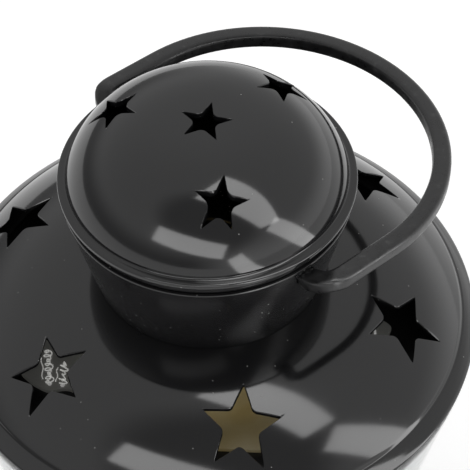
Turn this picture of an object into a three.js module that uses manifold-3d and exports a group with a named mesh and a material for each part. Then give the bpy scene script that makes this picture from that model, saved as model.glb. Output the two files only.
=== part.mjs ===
// Battery LED lantern: a domed cap on a flared collar, a wide roof pierced with stars, a clear
// tapered body with an LED candle inside, and a base that holds the cells, the switch and the feet.
// Millimetres, +Z up, origin at the bottom centre of the feet. The handle lies level, as in use at rest.
import * as THREE from "three";
import { mergeVertices } from "three/addons/utils/BufferGeometryUtils.js";
import Module from "manifold-3d";

const wasm = await Module();
wasm.setup();

// Clearances
const SEAT_GAP = 0.1; // between round pieces that rest on each other on the main axis
const FIT_GAP = 0.3; // around pieces that drop into a pocket
const PIN_GAP = 0.35; // around the handle's pins
const SCREW_GAP = 0.1; // around a screw in its boss

// How solids are joined and cut
const OVERLAP = 0.5; // how far a joined solid runs into its neighbour
const THROUGH = 1; // how far a cutting tool passes the faces it cuts
const THREAD_END = 1; // room past the tip of a screw, and the closed wall past that
const ROUND = 36; // facets round the main axis
const SCREW_FACETS = 10;

// Base
const footRadius = 5;
const footHeight = 2.5;
const footCircle = 46;
const skirtRadius = 56;
const skirtWall = 2;
const skirtEdge = 3;
const baseHeight = 25.5; // from the bottom edge of the skirt to the deck
const deckThickness = 2;
const wireHoleRadius = 6;
const lipHeight = 3;
const lipWall = 1.6;
const plateThickness = 3;
const baseScrewCircle = 44;
const bossRadius = 3.2;

// Battery tray, door and cells (AAA size)
const cellRadius = 5.1;
const cellLength = 44.5;
const cellSpacing = 10.9;
const nubRadius = 1.9;
const nubLength = 0.9;
const trayLength = 54;
const trayWall = 1.6;
const doorThickness = 1.5;
const doorLedge = 1.7;
const doorTabLength = 8;
const doorTabWidth = 12;
const contactThickness = 0.4;
const contactWidth = 8.6;
const contactTabWidth = 3;
const contactTabRise = 3; // above the tray
const springWire = 0.35;
const springRadius = 3;
const springTurns = 3.5;

// Screws
const screwRadius = 1.2;
const screwHeadRadius = 2.3;
const screwHeadHeight = 1.2;
const screwGrip = 6; // length of thread in its boss

// Slide switch
const switchLength = 12;
const switchDepth = 6.4;
const switchHeight = 5;
const switchPlace = 32;
const knobLength = 2.6;
const knobDepth = 2.4;
const knobTravel = 3.4;
const knobReach = 1.2; // below the plate
const knobDepthShare = 0.6; // of the housing's height that the knob goes up into
const switchLegWidth = 1.6;
const switchLegThickness = 0.8;
const switchLegRise = 2;

// Clear body
const bodyBottomRadius = 46.5;
const bodyHeight = 106.1;
const bodyWall = 1.6;
const shoulderStep = 3.2; // from the body's widest edge in to its neck
const neckHeight = 1.2;
const flangeWidth = 5.3;
const flangeThickness = 1.5;

// LED candle
const candleRadius = 22;
const candleHeight = 60;
const candleWall = 1.8;
const candleRecess = 5;
const candleLip = 1; // height of the worn lip, and the step of its slope down to the flame
const candleTopThickness = 2;
const candleFootThickness = 2;
const candleFootWidth = 4; // inwards from the candle's screws
const candleScrewCircle = 17.5;
const ledRadius = 2.5;
const ledHoleRadius = 3.3;
const ledDrop = 3.6; // from the candle's top down to the underside of the LED
const ledFlange = 0.4;
const ledLeadRadius = 0.3;
const ledLeadPitch = 2.54;
const flameHeight = 24;
const flameRadius = 5.6;
const boardRadius = 9;
const boardThickness = 1.2;
const boardDrop = 7; // from the underside of the candle's top
const boardScrewCircle = 6.5;
const boardScrewRadius = 0.8;
const boardScrewHead = 1;
const boardScrewLength = 5.2;
const boardPostRadius = 2.2;

// Wires
const wireRadius = 0.7;
const wireRise = 2.5; // above the tray
const wireBend = 3; // how far a wire swings out beside a terminal

// Ring and diffuser under the roof
const ringInset = 2.3; // from the body's neck to the ring's edge
const ringWidth = 25;
const ringThickness = 1.4;
const ringScrewInset = 7; // from the ring's edge to its screws
const ringScrewTurn = -51.6; // azimuth of the first, between two stars
const diffuserThickness = 1.2;
const diffuserRound = 5;
const glueHeight = 0.9;
const glueWidth = 2.4;
// Edge of the diffuser, trimmed by hand: how far past the ring's opening, and azimuth
const diffuserEdge = [
  [16, -155],
  [13.5, -146],
  [8, -141],
  [9.5, -112],
  [8, -84],
  [10, -75],
  [10.5, -45],
  [7, -24],
  [4.5, -16],
  [2, -8],
  [2, 6],
  [4, 18],
  [9.5, 50],
  [10.5, 80],
  [9.5, 110],
  [11, 140],
  [10.5, 165],
  [12, -170],
];
// Beads of glue on it: how far past the ring's opening, azimuth, half length and direction
const glueBeads = [
  [7.5, -155, 5.2, 95],
  [5.2, -150, 3.4, 88],
  [5.5, -100, 3.6, -8],
  [6, -45, 4.2, 42],
  [5.2, 65, 4, 158],
];

// Roof
const rimRadius = 68.5;
const rimSkirt = 0.8;
const bandWidth = 3.5; // sloping edge band outside the crease
const bandHeight = 2.6;
const creaseGroove = 0.3;
const roofRise = 15.5; // from the crease to the shoulder
const roofSagitta = 4.2;
const shoulderInset = 0.4; // from the collar's foot in to where the roof's curve would end
const roofWall = 1.3;
const landHeight = 1.4;
const landFillet = 2.8; // hollow curve from the land out to the roof
const roofFloorEdge = 1; // how far the land shows inside the collar's opening
const roofStarTip = 0.1523; // as shares of the crease's radius
const roofStarWaist = 0.0662;
const roofStarRound = 1.4;
// Each star: distance from the axis as a share of the crease's radius, azimuth, and turn
const roofStars = [
  [0.757, -82.4, 23],
  [0.7815, -21.4, 15],
  [0.8046, 37.1, 14],
  [0.7846, 98.4, 19],
  [0.82, 157.3, 23],
  [0.7754, -141.6, 21.5],
];

// Collar
const collarInset = 0.6; // from the brim's edge to the collar's top edge
const collarTaper = 6.2;
const collarHeight = 25.9;
const collarWall = 1.5;
const collarFloor = 2;
const collarFloorWidth = 18.2; // from the collar's foot in to its opening
const collarScrewInset = 4.2;

// Domed cap
const brimRadius = 36;
const brimThickness = 1.8;
const brimRound = 0.4;
const revealHeight = 2.5; // dark gap between collar and brim
const revealInset = 1.4; // from the brim's edge
const spigotInset = 2.8; // from the brim's edge
const spigotWall = 1;
const spigotDepth = 1.3;
const domeInset = 2.1; // from the brim's edge
const domeFoot = 0.5;
const domeFillet = 0.6; // hollow curve from the brim up to the dome
const domeRise = 16.8;
const domeWall = 1.5;
const domeRoundness = 3.55; // flatter on top the higher it is
const domeShoulder = 1.3; // fuller at the edge the higher it is
const domeStarTip = 0.2035; // as shares of the dome's radius
const domeStarWaist = 0.0678;
const domeStarRound = 2.2;
// Each star: distance from the axis as a share of the dome's radius, azimuth, and turn
const domeStars = [
  [0, 0, 3.7],
  [0.687, -83.3, 20.5],
  [0.679, 38, 19],
  [0.676, 160.3, 19],
];

// Handle
const handleClearance = 6.6; // from the brim's edge to the centre line of a side bar
const handleStraight = 20; // how far the side bars run before the half circle that joins them
const handleWidth = 4.65;
const handleThickness = 4.25;
const handleEdge = 1.2; // chamfer along the bar
const handleBend = 5; // from the corner to the start of the short end that holds the pin
const handleRise = 3.2; // the bar is cranked up from the pins by this much
const handleRiseLength = 9; // along the bar, within which it rises
const handleDroop = 2.5; // degrees that the loop hangs down from there
const handleAzimuth = 40; // the direction it lies in
const pinRadius = 2.3;
const pinHeadRadius = 2.9;
const pinHeadLength = 1.2;
const pivotDrop = 3.8; // below the collar's top edge
const handleSteps = 72; // along the whole bar
const handleLoopSteps = 24; // of the half circle

// Sizes worked out from the brim, so that the cap, the collar and the handle keep to it
const collarTopRadius = brimRadius - collarInset;
const collarFootRadius = collarTopRadius - collarTaper;
const collarOpening = collarFootRadius - collarFloorWidth;
const collarScrewCircle = collarFootRadius - collarScrewInset;
const roofOpening = collarOpening - roofFloorEdge;
const shoulderRadius = collarFootRadius - shoulderInset;
const revealRadius = brimRadius - revealInset;
const spigotRadius = brimRadius - spigotInset;
const domeRadius = brimRadius - domeInset;
const handleSpan = brimRadius + handleClearance;

// Sizes worked out from the roof's rim, so that the body, its flange and the ring keep to it
const bodyTopRadius = rimRadius;
const creaseRadius = rimRadius - bandWidth;
const neckRadius = bodyTopRadius - shoulderStep;
const flangeRadius = neckRadius - flangeWidth;
const ringRadius = neckRadius - ringInset;
const ringOpening = ringRadius - ringWidth;
const ringScrewCircle = ringRadius - ringScrewInset;

// Heights worked out from the sizes above
const plateBottom = footHeight;
const plateTop = plateBottom + plateThickness;
const deckTop = plateBottom + baseHeight;
const deckUnder = deckTop - deckThickness;
const doorTop = plateBottom + doorThickness;
const bodyBottom = deckTop + SEAT_GAP;
const bodyShoulder = bodyBottom + bodyHeight;
const neckTop = bodyShoulder + neckHeight;
const flangeUnder = neckTop - flangeThickness;
const ringTop = flangeUnder - SEAT_GAP;
const ringUnder = ringTop - ringThickness;
const diffuserBottom = ringTop + SEAT_GAP;
const rimBottom = bodyShoulder + SEAT_GAP;
const rimTop = rimBottom + rimSkirt;
const creaseTop = rimTop + bandHeight;
const shoulderTop = creaseTop + roofRise;
const landTop = shoulderTop + landHeight;
const landUnder = shoulderTop - roofWall;
const collarFoot = landTop + SEAT_GAP;
const collarTop = collarFoot + collarHeight;
const brimBottom = collarTop + revealHeight;
const brimTop = brimBottom + brimThickness;
const domeBottom = brimTop + domeFoot;
const pivotHeight = collarTop - pivotDrop;
const candleBottom = deckTop + SEAT_GAP;
const candleTop = candleBottom + candleHeight - candleRecess;
const candleUnder = candleTop - candleTopThickness;
const ledBottom = candleTop - ledDrop;
const ledTop = ledBottom + 3 * ledRadius;
const boardTop = candleUnder - boardDrop;
const boardUnder = boardTop - boardThickness;
const cellFloor = doorTop + FIT_GAP;
const cellHeight = cellFloor + cellRadius;
const trayWidth = 2 * cellSpacing + 2 * cellRadius + 2 * FIT_GAP;
const trayCeiling = cellHeight + cellRadius + 2 * FIT_GAP;
const trayTop = trayCeiling + trayWall;

const radians = THREE.MathUtils.degToRad;
const polar = (r, azimuth) => [r * Math.cos(radians(azimuth)), r * Math.sin(radians(azimuth))];

// Materials, with colours as seen on the object
const plastic = (color, roughness) => new THREE.MeshStandardMaterial({ color, roughness, metalness: 0 });
const metal = (color, roughness) => new THREE.MeshStandardMaterial({ color, roughness, metalness: 1 });
const glossBlack = plastic(0x17171a, 0.22);
const satinBlack = plastic(0x1a1a1c, 0.42);
const clearPlastic = new THREE.MeshStandardMaterial({
  color: 0xdfe5e6,
  roughness: 0.06,
  transparent: true,
  opacity: 0.35,
});
const warmDiffuser = plastic(0xb9a878, 0.5);
const clearGlue = plastic(0xe6e3d8, 0.2);
const ivoryWax = plastic(0xefe6cf, 0.55);
const amberLens = plastic(0xf2c66a, 0.25);
const boardGreen = plastic(0x2c6a3f, 0.5);
const feetRubber = plastic(0x202020, 0.9);
const cellSleeve = plastic(0x3b4a57, 0.35);
const switchShell = plastic(0x101012, 0.4);
const redInsulation = plastic(0xa82420, 0.5);
const blackInsulation = plastic(0x151515, 0.5);
const steel = metal(0xa8aaad, 0.35);
const springSteel = metal(0xc9cbcc, 0.25);

// Solids: three.js geometry to manifold-3d and back
function toSolid(geometry) {
  const bare = geometry.clone();
  bare.deleteAttribute("normal");
  bare.deleteAttribute("uv");
  const merged = mergeVertices(bare, 1e-4);
  const vertProperties = merged.attributes.position.array;
  const triVerts = Uint32Array.from(merged.index.array);
  return new wasm.Manifold(new wasm.Mesh({ numProp: 3, vertProperties, triVerts }));
}

function toGeometry(body) {
  const mesh = body.getMesh();
  const geometry = new THREE.BufferGeometry();
  geometry.setAttribute("position", new THREE.BufferAttribute(Float32Array.from(mesh.vertProperties), 3));
  geometry.setIndex(Array.from(mesh.triVerts));
  geometry.computeVertexNormals();
  return geometry;
}

const cut = (body, tools) => tools.reduce((rest, tool) => rest.subtract(toSolid(tool)), body);
const join = (body, additions) => additions.reduce((whole, more) => whole.add(toSolid(more)), body);

// A turned piece from its outline in (radius, height), given either way round
function turned(outline, segments = ROUND) {
  let area = 0;
  outline.forEach(([r, z], i) => {
    const [nextR, nextZ] = outline[(i + 1) % outline.length];
    area += r * nextZ - nextR * z;
  });
  const points = (area > 0 ? outline : [...outline].reverse()).map(([r, z]) => new THREE.Vector2(r, z));
  const onAxis = points[0].x < 1e-6 && points[points.length - 1].x < 1e-6;
  if (!onAxis) points.push(points[0].clone());
  return new THREE.LatheGeometry(points, segments).rotateX(Math.PI / 2);
}

// An upright cylinder between two heights, centred at (x, y)
function rod(radius, bottom, top, x = 0, y = 0, segments = 16) {
  const cylinder = new THREE.CylinderGeometry(radius, radius, top - bottom, segments);
  return cylinder.rotateX(Math.PI / 2).translate(x, y, (bottom + top) / 2);
}

// A box from its low and high corners
function block(x0, x1, y0, y1, z0, z1) {
  const box = new THREE.BoxGeometry(x1 - x0, y1 - y0, z1 - z0);
  return box.translate((x0 + x1) / 2, (y0 + y1) / 2, (z0 + z1) / 2);
}

// A flat plate extruded upwards from a closed outline of [x, y] points
function slab(outline, bottom, top) {
  const shape = new THREE.Shape(outline.map(([x, y]) => new THREE.Vector2(x, y)));
  const options = { depth: top - bottom, bevelEnabled: false };
  return new THREE.ExtrudeGeometry(shape, options).translate(0, 0, bottom);
}

// Points of a quadratic curve that rounds a corner, starting a distance before it on each side
function roundedCorner(before, corner, after, distance, steps) {
  const towards = (p) => {
    const length = Math.hypot(p[0] - corner[0], p[1] - corner[1]);
    const reach = Math.min(distance, 0.45 * length) / length;
    return new THREE.Vector2(corner[0] + reach * (p[0] - corner[0]), corner[1] + reach * (p[1] - corner[1]));
  };
  const start = towards(before);
  const end = towards(after);
  const curve = new THREE.QuadraticBezierCurve(start, new THREE.Vector2(...corner), end);
  return curve.getPoints(steps).map((p) => [p.x, p.y]);
}

// A five-pointed star with hollowed notches, as a prism through a wall
function starPrism([distance, azimuth, turn], radius, tip, waist, round, bottom, top) {
  const [x, y] = polar(distance * radius, azimuth);
  const corners = Array.from({ length: 10 }, (_, i) => {
    const [dx, dy] = polar(radius * (i % 2 === 0 ? tip : waist), azimuth + turn + 36 * i);
    return [x + dx, y + dy];
  });
  const outline = corners.flatMap((corner, i) => {
    if (i % 2 === 0) return [corner];
    return roundedCorner(corners[i - 1], corner, corners[(i + 1) % 10], round, 2);
  });
  return slab(outline, bottom, top);
}

// A screw pointing up: its head hangs below the seat and its shank goes up
function screwUp(x, y, seat, length) {
  const shank = rod(screwRadius, seat - OVERLAP, seat + length, x, y, SCREW_FACETS - 2);
  const head = rod(screwHeadRadius, seat - screwHeadHeight, seat, x, y, SCREW_FACETS);
  return toGeometry(join(toSolid(shank), [head]));
}

// A screw pointing down: its head stands on the seat and its shank goes down
function screwDown(x, y, seat, length) {
  const shank = rod(screwRadius, seat - length, seat + OVERLAP, x, y, SCREW_FACETS - 2);
  const head = rod(screwHeadRadius, seat, seat + screwHeadHeight, x, y, SCREW_FACETS);
  return toGeometry(join(toSolid(shank), [head]));
}

// A round wire through points
function wire(points, radius, steps) {
  const path = new THREE.CatmullRomCurve3(points.map((p) => new THREE.Vector3(...p)), false, "centripetal");
  const section = new THREE.Shape(circlePoints(radius, 6));
  return new THREE.ExtrudeGeometry(section, { steps, extrudePath: path, bevelEnabled: false });
}

function circlePoints(radius, count) {
  return Array.from({ length: count }, (_, i) => new THREE.Vector2(...polar(radius, (360 / count) * i)));
}

// Places of screws and feet
const around = (radius, count, first) =>
  Array.from({ length: count }, (_, i) => polar(radius, first + (360 / count) * i));
const baseScrews = around(baseScrewCircle, 3, 90);
const feet = around(footCircle, 4, 45);
const candleScrews = around(candleScrewCircle, 2, 0);
const boardScrews = around(boardScrewCircle, 2, 90);
const ringScrews = around(ringScrewCircle, 3, ringScrewTurn);
const collarScrews = around(collarScrewCircle, 3, 90);
const doorScrewX = trayLength / 2 + doorLedge + doorTabLength / 2;
const doorScrews = [-doorScrewX, doorScrewX].map((x) => [x, 0]);

// Base shell: flared skirt, deck and the lip that holds the clear body
function baseShell() {
  const lipInner = bodyBottomRadius + ((bodyTopRadius - bodyBottomRadius) * lipHeight) / bodyHeight + FIT_GAP;
  const lipOuter = lipInner + lipWall;
  const lipTop = deckTop + lipHeight;
  const straight = plateBottom + skirtEdge;
  const outline = [
    [wireHoleRadius, deckUnder],
    [lipOuter - skirtWall, deckUnder],
    [lipOuter - skirtWall + 0.45 * (skirtRadius - lipOuter), (straight + deckUnder) / 2],
    [skirtRadius - skirtWall, straight],
    [skirtRadius - skirtWall, plateBottom],
    [skirtRadius, plateBottom],
    [skirtRadius, straight],
    [lipOuter + 0.62 * (skirtRadius - lipOuter), (3 * straight + deckTop) / 4],
    [lipOuter + 0.28 * (skirtRadius - lipOuter), (straight + deckTop) / 2],
    [lipOuter + 0.08 * (skirtRadius - lipOuter), (straight + 3 * deckTop) / 4],
    [lipOuter, deckTop],
    [lipOuter, lipTop],
    [lipInner, lipTop],
    [lipInner, deckTop],
    [wireHoleRadius, deckTop],
  ];
  const bosses = baseScrews.map(([x, y]) => rod(bossRadius, plateTop + SEAT_GAP, deckUnder + OVERLAP, x, y));
  const threads = baseScrews.map(([x, y]) =>
    rod(screwRadius + SCREW_GAP, plateTop, plateTop + screwGrip + THREAD_END, x, y, SCREW_FACETS),
  );
  const candleHoles = candleScrews.map(([x, y]) =>
    rod(screwRadius + FIT_GAP, deckUnder - THROUGH, deckTop + THROUGH, x, y, SCREW_FACETS),
  );
  return toGeometry(cut(join(toSolid(turned(outline)), bosses), [...threads, ...candleHoles]));
}

// Outline of the door seen from below: a rectangle with a screw tab at each end
function doorOutline(grow) {
  const x = trayLength / 2 + doorLedge + grow;
  const y = trayWidth / 2 + doorLedge + grow;
  const tabX = x + doorTabLength;
  const tabY = doorTabWidth / 2 + grow;
  return [
    [-tabX, -tabY],
    [-x, -tabY],
    [-x, -y],
    [x, -y],
    [x, -tabY],
    [tabX, -tabY],
    [tabX, tabY],
    [x, tabY],
    [x, y],
    [-x, y],
    [-x, tabY],
    [-tabX, tabY],
  ];
}

// Base plate: closes the skirt and carries the battery tray and the switch
function basePlate() {
  const radius = skirtRadius - skirtWall - FIT_GAP;
  const halfX = trayLength / 2;
  const halfY = trayWidth / 2;
  const disc = toSolid(turned([[0, plateBottom], [radius, plateBottom], [radius, plateTop], [0, plateTop]]));
  const [wallX, wallY] = [halfX + trayWall, halfY + trayWall];
  const tray = block(-wallX, wallX, -wallY, wallY, plateTop - OVERLAP, trayTop);
  const bosses = doorScrews.map(([x, y]) => rod(bossRadius, plateTop - OVERLAP, plateTop + screwGrip, x, y));
  const inside = block(-halfX, halfX, -halfY, halfY, plateBottom - THROUGH, trayCeiling);
  const recess = slab(doorOutline(FIT_GAP), plateBottom - THROUGH, doorTop + SEAT_GAP);
  const doorThreads = doorScrews.map(([x, y]) =>
    rod(screwRadius + SCREW_GAP, plateBottom, plateTop + screwGrip - THREAD_END, x, y, SCREW_FACETS),
  );
  const baseHoles = baseScrews.map(([x, y]) =>
    rod(screwRadius + FIT_GAP, plateBottom - THROUGH, plateTop + THROUGH, x, y, SCREW_FACETS),
  );
  const slotX = (knobLength + knobTravel) / 2 + FIT_GAP;
  const slotY = knobDepth / 2 + FIT_GAP;
  const [slotLow, slotHigh] = [switchPlace - slotY, switchPlace + slotY];
  const slot = block(-slotX, slotX, slotLow, slotHigh, plateBottom - THROUGH, plateTop + THROUGH);
  const tabSlots = terminalPlaces().map(([x, y]) => {
    const halfTab = contactTabWidth / 2 + FIT_GAP;
    const reach = contactThickness / 2 + FIT_GAP;
    return block(x - reach, x + reach, y - halfTab, y + halfTab, trayCeiling - THROUGH, trayTop + THROUGH);
  });
  const body = join(disc, [tray, ...bosses]);
  return toGeometry(cut(body, [inside, recess, slot, ...doorThreads, ...baseHoles, ...tabSlots]));
}

// Battery door with its two screw tabs
function batteryDoor() {
  const holes = doorScrews.map(([x, y]) =>
    rod(screwRadius + FIT_GAP, plateBottom - THROUGH, doorTop + THROUGH, x, y, SCREW_FACETS),
  );
  return toGeometry(cut(toSolid(slab(doorOutline(0), plateBottom, doorTop)), holes));
}

const contactX = trayLength / 2 - FIT_GAP - contactThickness / 2;
const cellRows = [-cellSpacing, 0, cellSpacing];
const facing = (i) => (i % 2 === 0 ? 1 : -1); // neighbouring cells point opposite ways

// The two contacts with a tab for a wire: positive of the first cell, negative of the last
function terminalPlaces() {
  return [
    [contactX, cellRows[0]],
    [-contactX, cellRows[2]],
  ];
}

// A cell lying along X, its positive end towards +X or -X
function cell(row, side) {
  const end = contactX - contactThickness / 2 - SEAT_GAP;
  const can = new THREE.CylinderGeometry(cellRadius, cellRadius, cellLength - nubLength, 16);
  can.rotateZ(Math.PI / 2).translate(side * (end - (cellLength + nubLength) / 2), row, cellHeight);
  const nub = new THREE.CylinderGeometry(nubRadius, nubRadius, nubLength + OVERLAP, 10);
  nub.rotateZ(Math.PI / 2).translate(side * (end - (nubLength + OVERLAP) / 2), row, cellHeight);
  return toGeometry(join(toSolid(can), [nub]));
}

// Contact plates: a single one at each terminal and a bridge between neighbouring cells
function contactPlates() {
  const half = contactWidth / 2;
  const thick = contactThickness / 2;
  const bottom = cellFloor + FIT_GAP;
  const top = trayCeiling - FIT_GAP;
  const plate = (x, low, high) => toSolid(block(x - thick, x + thick, low - half, high + half, bottom, top));
  const single = ([x, y]) => {
    const halfTab = contactTabWidth / 2;
    const tab = block(x - thick, x + thick, y - halfTab, y + halfTab, top - OVERLAP, trayTop + contactTabRise);
    return join(plate(x, y, y), [tab]);
  };
  const [positive, negative] = terminalPlaces();
  const bridges = [plate(contactX, cellRows[1], cellRows[2]), plate(-contactX, cellRows[0], cellRows[1])];
  return [single(positive), single(negative), ...bridges].map(toGeometry);
}

// A contact spring between a plate and the flat end of a cell, as one wire
function contactSpring(row, side) {
  const near = contactX - contactThickness / 2 - SEAT_GAP - springWire;
  const far = cellLength - contactX + contactThickness / 2 + 2 * SEAT_GAP + springWire;
  const perTurn = 6;
  const steps = springTurns * perTurn;
  const points = Array.from({ length: steps + 1 }, (_, i) => {
    const [dy, dz] = polar(springRadius, (360 / perTurn) * i);
    return new THREE.Vector3(-side * (near + ((far - near) * i) / steps), row + dy, cellHeight + dz);
  });
  const path = new THREE.CatmullRomCurve3(points);
  const section = new THREE.Shape(circlePoints(springWire, 5));
  return new THREE.ExtrudeGeometry(section, { steps, extrudePath: path, bevelEnabled: false });
}

// Slide switch: housing with two terminals, and its knob
function switchHousing() {
  const x = switchLength / 2;
  const y = switchDepth / 2;
  const bottom = plateTop + SEAT_GAP;
  const top = bottom + switchHeight;
  const shell = toSolid(block(-x, x, switchPlace - y, switchPlace + y, bottom, top));
  const [legX, legY] = [switchLegThickness / 2, switchLegWidth / 2];
  const legs = switchTerminals().map(([lx, ly, lz]) =>
    block(lx - legX, lx + legX, ly - legY, ly + legY, top - OVERLAP, lz),
  );
  const grooveX = (knobLength + knobTravel) / 2 + FIT_GAP;
  const grooveY = knobDepth / 2 + FIT_GAP;
  const grooveTop = bottom + knobDepthShare * switchHeight;
  const [grooveLow, grooveHigh] = [switchPlace - grooveY, switchPlace + grooveY];
  const groove = block(-grooveX, grooveX, grooveLow, grooveHigh, bottom - THROUGH, grooveTop);
  return toGeometry(cut(join(shell, legs), [groove]));
}

function switchTerminals() {
  const height = plateTop + SEAT_GAP + switchHeight + switchLegRise;
  return [-1, 1].map((side) => [(side * switchLength) / 3, switchPlace, height]);
}

function switchKnob() {
  const off = -knobTravel / 2;
  const top = plateTop + SEAT_GAP + knobDepthShare * switchHeight - FIT_GAP;
  const y = knobDepth / 2;
  const bottom = plateBottom - knobReach;
  return block(off - knobLength / 2, off + knobLength / 2, switchPlace - y, switchPlace + y, bottom, top);
}

// Clear tapered body with a neck and an inward flange at the top
function clearBody() {
  const slope = (bodyTopRadius - bodyBottomRadius) / bodyHeight;
  const wallAcross = bodyWall * Math.hypot(1, slope);
  const innerAt = (z) => bodyBottomRadius + slope * (z - bodyBottom) - wallAcross;
  const neckUnder = flangeUnder - flangeThickness;
  return turned([
    [bodyBottomRadius, bodyBottom],
    [bodyTopRadius, bodyShoulder],
    [neckRadius, bodyShoulder],
    [neckRadius, neckTop],
    [flangeRadius, neckTop],
    [flangeRadius, flangeUnder],
    [neckRadius - bodyWall, flangeUnder],
    [innerAt(neckUnder), neckUnder],
    [innerAt(bodyBottom), bodyBottom],
  ]);
}

// Ivory candle shell with a sunken top, bosses for its board and a screwed foot
function candleBody() {
  const top = candleBottom + candleHeight;
  const inner = candleRadius - candleWall;
  const foot = candleBottom + candleFootThickness;
  const footInner = candleScrewCircle - candleFootWidth;
  const outline = [
    [footInner, candleBottom],
    [candleRadius, candleBottom],
    [candleRadius, top - candleLip],
    [candleRadius - 0.6 * candleLip, top],
    [candleRadius - 1.6 * candleLip, top - 0.4 * candleLip],
    [candleRadius - 4 * candleLip, candleTop + 1.6 * candleLip],
    [candleRadius - 9 * candleLip, candleTop + 0.3 * candleLip],
    [flameRadius + candleLip, candleTop],
    [ledHoleRadius, candleTop],
    [ledHoleRadius, candleUnder],
    [inner, candleUnder],
    [inner, foot],
    [footInner, foot],
  ];
  const bosses = candleScrews.map(([x, y]) => rod(bossRadius, foot - OVERLAP, foot + screwGrip, x, y));
  const posts = boardScrews.map(([x, y]) =>
    rod(boardPostRadius, boardTop + SEAT_GAP, candleUnder + OVERLAP, x, y),
  );
  const threads = candleScrews.map(([x, y]) =>
    rod(screwRadius + SCREW_GAP, candleBottom - THROUGH, foot + screwGrip - THREAD_END, x, y, SCREW_FACETS),
  );
  const postThreads = boardScrews.map(([x, y]) =>
    rod(boardScrewRadius + SCREW_GAP, boardTop - THROUGH, candleUnder - THREAD_END, x, y, SCREW_FACETS),
  );
  const body = join(toSolid(turned(outline, 24)), [...bosses, ...posts]);
  return toGeometry(cut(body, [...threads, ...postThreads]));
}

// A small screw that holds the board to its post
function boardScrew([x, y]) {
  const seat = boardUnder - SEAT_GAP;
  const low = seat - boardScrewHead;
  const shank = rod(boardScrewRadius, low + OVERLAP, seat + boardScrewLength, x, y, SCREW_FACETS - 2);
  const head = rod(boardScrewRadius * 2, low, seat, x, y, SCREW_FACETS);
  return toGeometry(join(toSolid(shank), [head]));
}

// Round circuit board under the candle's top
function circuitBoard() {
  const disc = toSolid(rod(boardRadius, boardUnder, boardTop, 0, 0, 32));
  const holes = boardScrews.map(([x, y]) =>
    rod(boardScrewRadius + FIT_GAP, boardUnder - THROUGH, boardTop + THROUGH, x, y, SCREW_FACETS),
  );
  return toGeometry(cut(disc, holes));
}

// LED with its two leads standing on the board
function led() {
  const flange = ledRadius + ledFlange;
  const flangeTop = ledBottom + 2 * ledFlange;
  const domeStart = ledTop - ledRadius;
  const profile = [
    [0, ledBottom],
    [flange, ledBottom],
    [flange, flangeTop],
    [ledRadius, flangeTop],
    [ledRadius, domeStart],
    [ledRadius * 0.87, domeStart + ledRadius * 0.5],
    [ledRadius * 0.5, domeStart + ledRadius * 0.87],
    [0, ledTop],
  ];
  const leads = [-ledLeadPitch / 2, ledLeadPitch / 2].map((x) =>
    rod(ledLeadRadius, boardTop + SEAT_GAP, ledBottom + OVERLAP, x, 0, 8),
  );
  return toGeometry(join(toSolid(turned(profile, 16)), leads));
}

// Flame-shaped lens over the LED
function flameLens() {
  const bottom = candleTop + SEAT_GAP;
  const cavity = ledRadius + FIT_GAP;
  return turned(
    [
      [cavity, bottom],
      [flameRadius * 0.75, bottom],
      [flameRadius * 0.94, bottom + flameHeight * 0.1],
      [flameRadius, bottom + flameHeight * 0.22],
      [flameRadius * 0.9, bottom + flameHeight * 0.4],
      [flameRadius * 0.62, bottom + flameHeight * 0.62],
      [flameRadius * 0.28, bottom + flameHeight * 0.84],
      [0, bottom + flameHeight],
      [0, ledTop + 2 * FIT_GAP],
      [cavity * 0.7, ledTop],
      [cavity, ledTop - ledRadius / 2],
    ],
    16,
  );
}

// Black ring screwed up under the roof: it clamps the clear body's flange and carries the diffuser
function roofRing() {
  const disc = toSolid(
    turned([
      [ringOpening, ringUnder],
      [ringRadius, ringUnder],
      [ringRadius, ringTop],
      [ringOpening, ringTop],
    ]),
  );
  const holes = ringScrews.map(([x, y]) =>
    rod(screwRadius + FIT_GAP, ringUnder - THROUGH, ringTop + THROUGH, x, y, SCREW_FACETS),
  );
  return toGeometry(cut(disc, holes));
}

// Warm translucent sheet under the stars, laid on the ring and trimmed by hand
function starDiffuser() {
  const outline = diffuserEdge.map(([past, azimuth]) => polar(ringOpening + past, azimuth));
  const rounded = outline.flatMap((corner, i) => {
    const before = outline[(i + outline.length - 1) % outline.length];
    const after = outline[(i + 1) % outline.length];
    return roundedCorner(before, corner, after, diffuserRound, 2);
  });
  return slab(rounded, diffuserBottom, diffuserBottom + diffuserThickness);
}

// Beads of hot-melt glue that hold the diffuser's edge
function glue() {
  const bottom = diffuserBottom + diffuserThickness + SEAT_GAP / 2;
  return glueBeads.map(([past, azimuth, halfLength, direction]) => {
    const [x, y] = polar(ringOpening + past, azimuth);
    const bead = new THREE.SphereGeometry(1, 8, 6);
    bead.scale(halfLength, glueWidth / 2, glueHeight / 2).rotateZ(radians(direction));
    return bead.translate(x, y, bottom + glueHeight / 2);
  });
}

// The roof's convex arc in (radius, height), from the shoulder down to the crease
function roofArc(offset) {
  const [dr, dz] = [creaseRadius - shoulderRadius, creaseTop - shoulderTop];
  const chord = Math.hypot(dr, dz);
  const radius = (chord * chord) / (8 * roofSagitta) + roofSagitta / 2;
  const drop = radius - roofSagitta;
  const centreR = (creaseRadius + shoulderRadius) / 2 + (drop * dz) / chord;
  const centreZ = (creaseTop + shoulderTop) / 2 - (drop * dr) / chord;
  const bend = radius - offset;
  return (r) => centreZ + Math.sqrt(bend * bend - (r - centreR) * (r - centreR));
}

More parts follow.
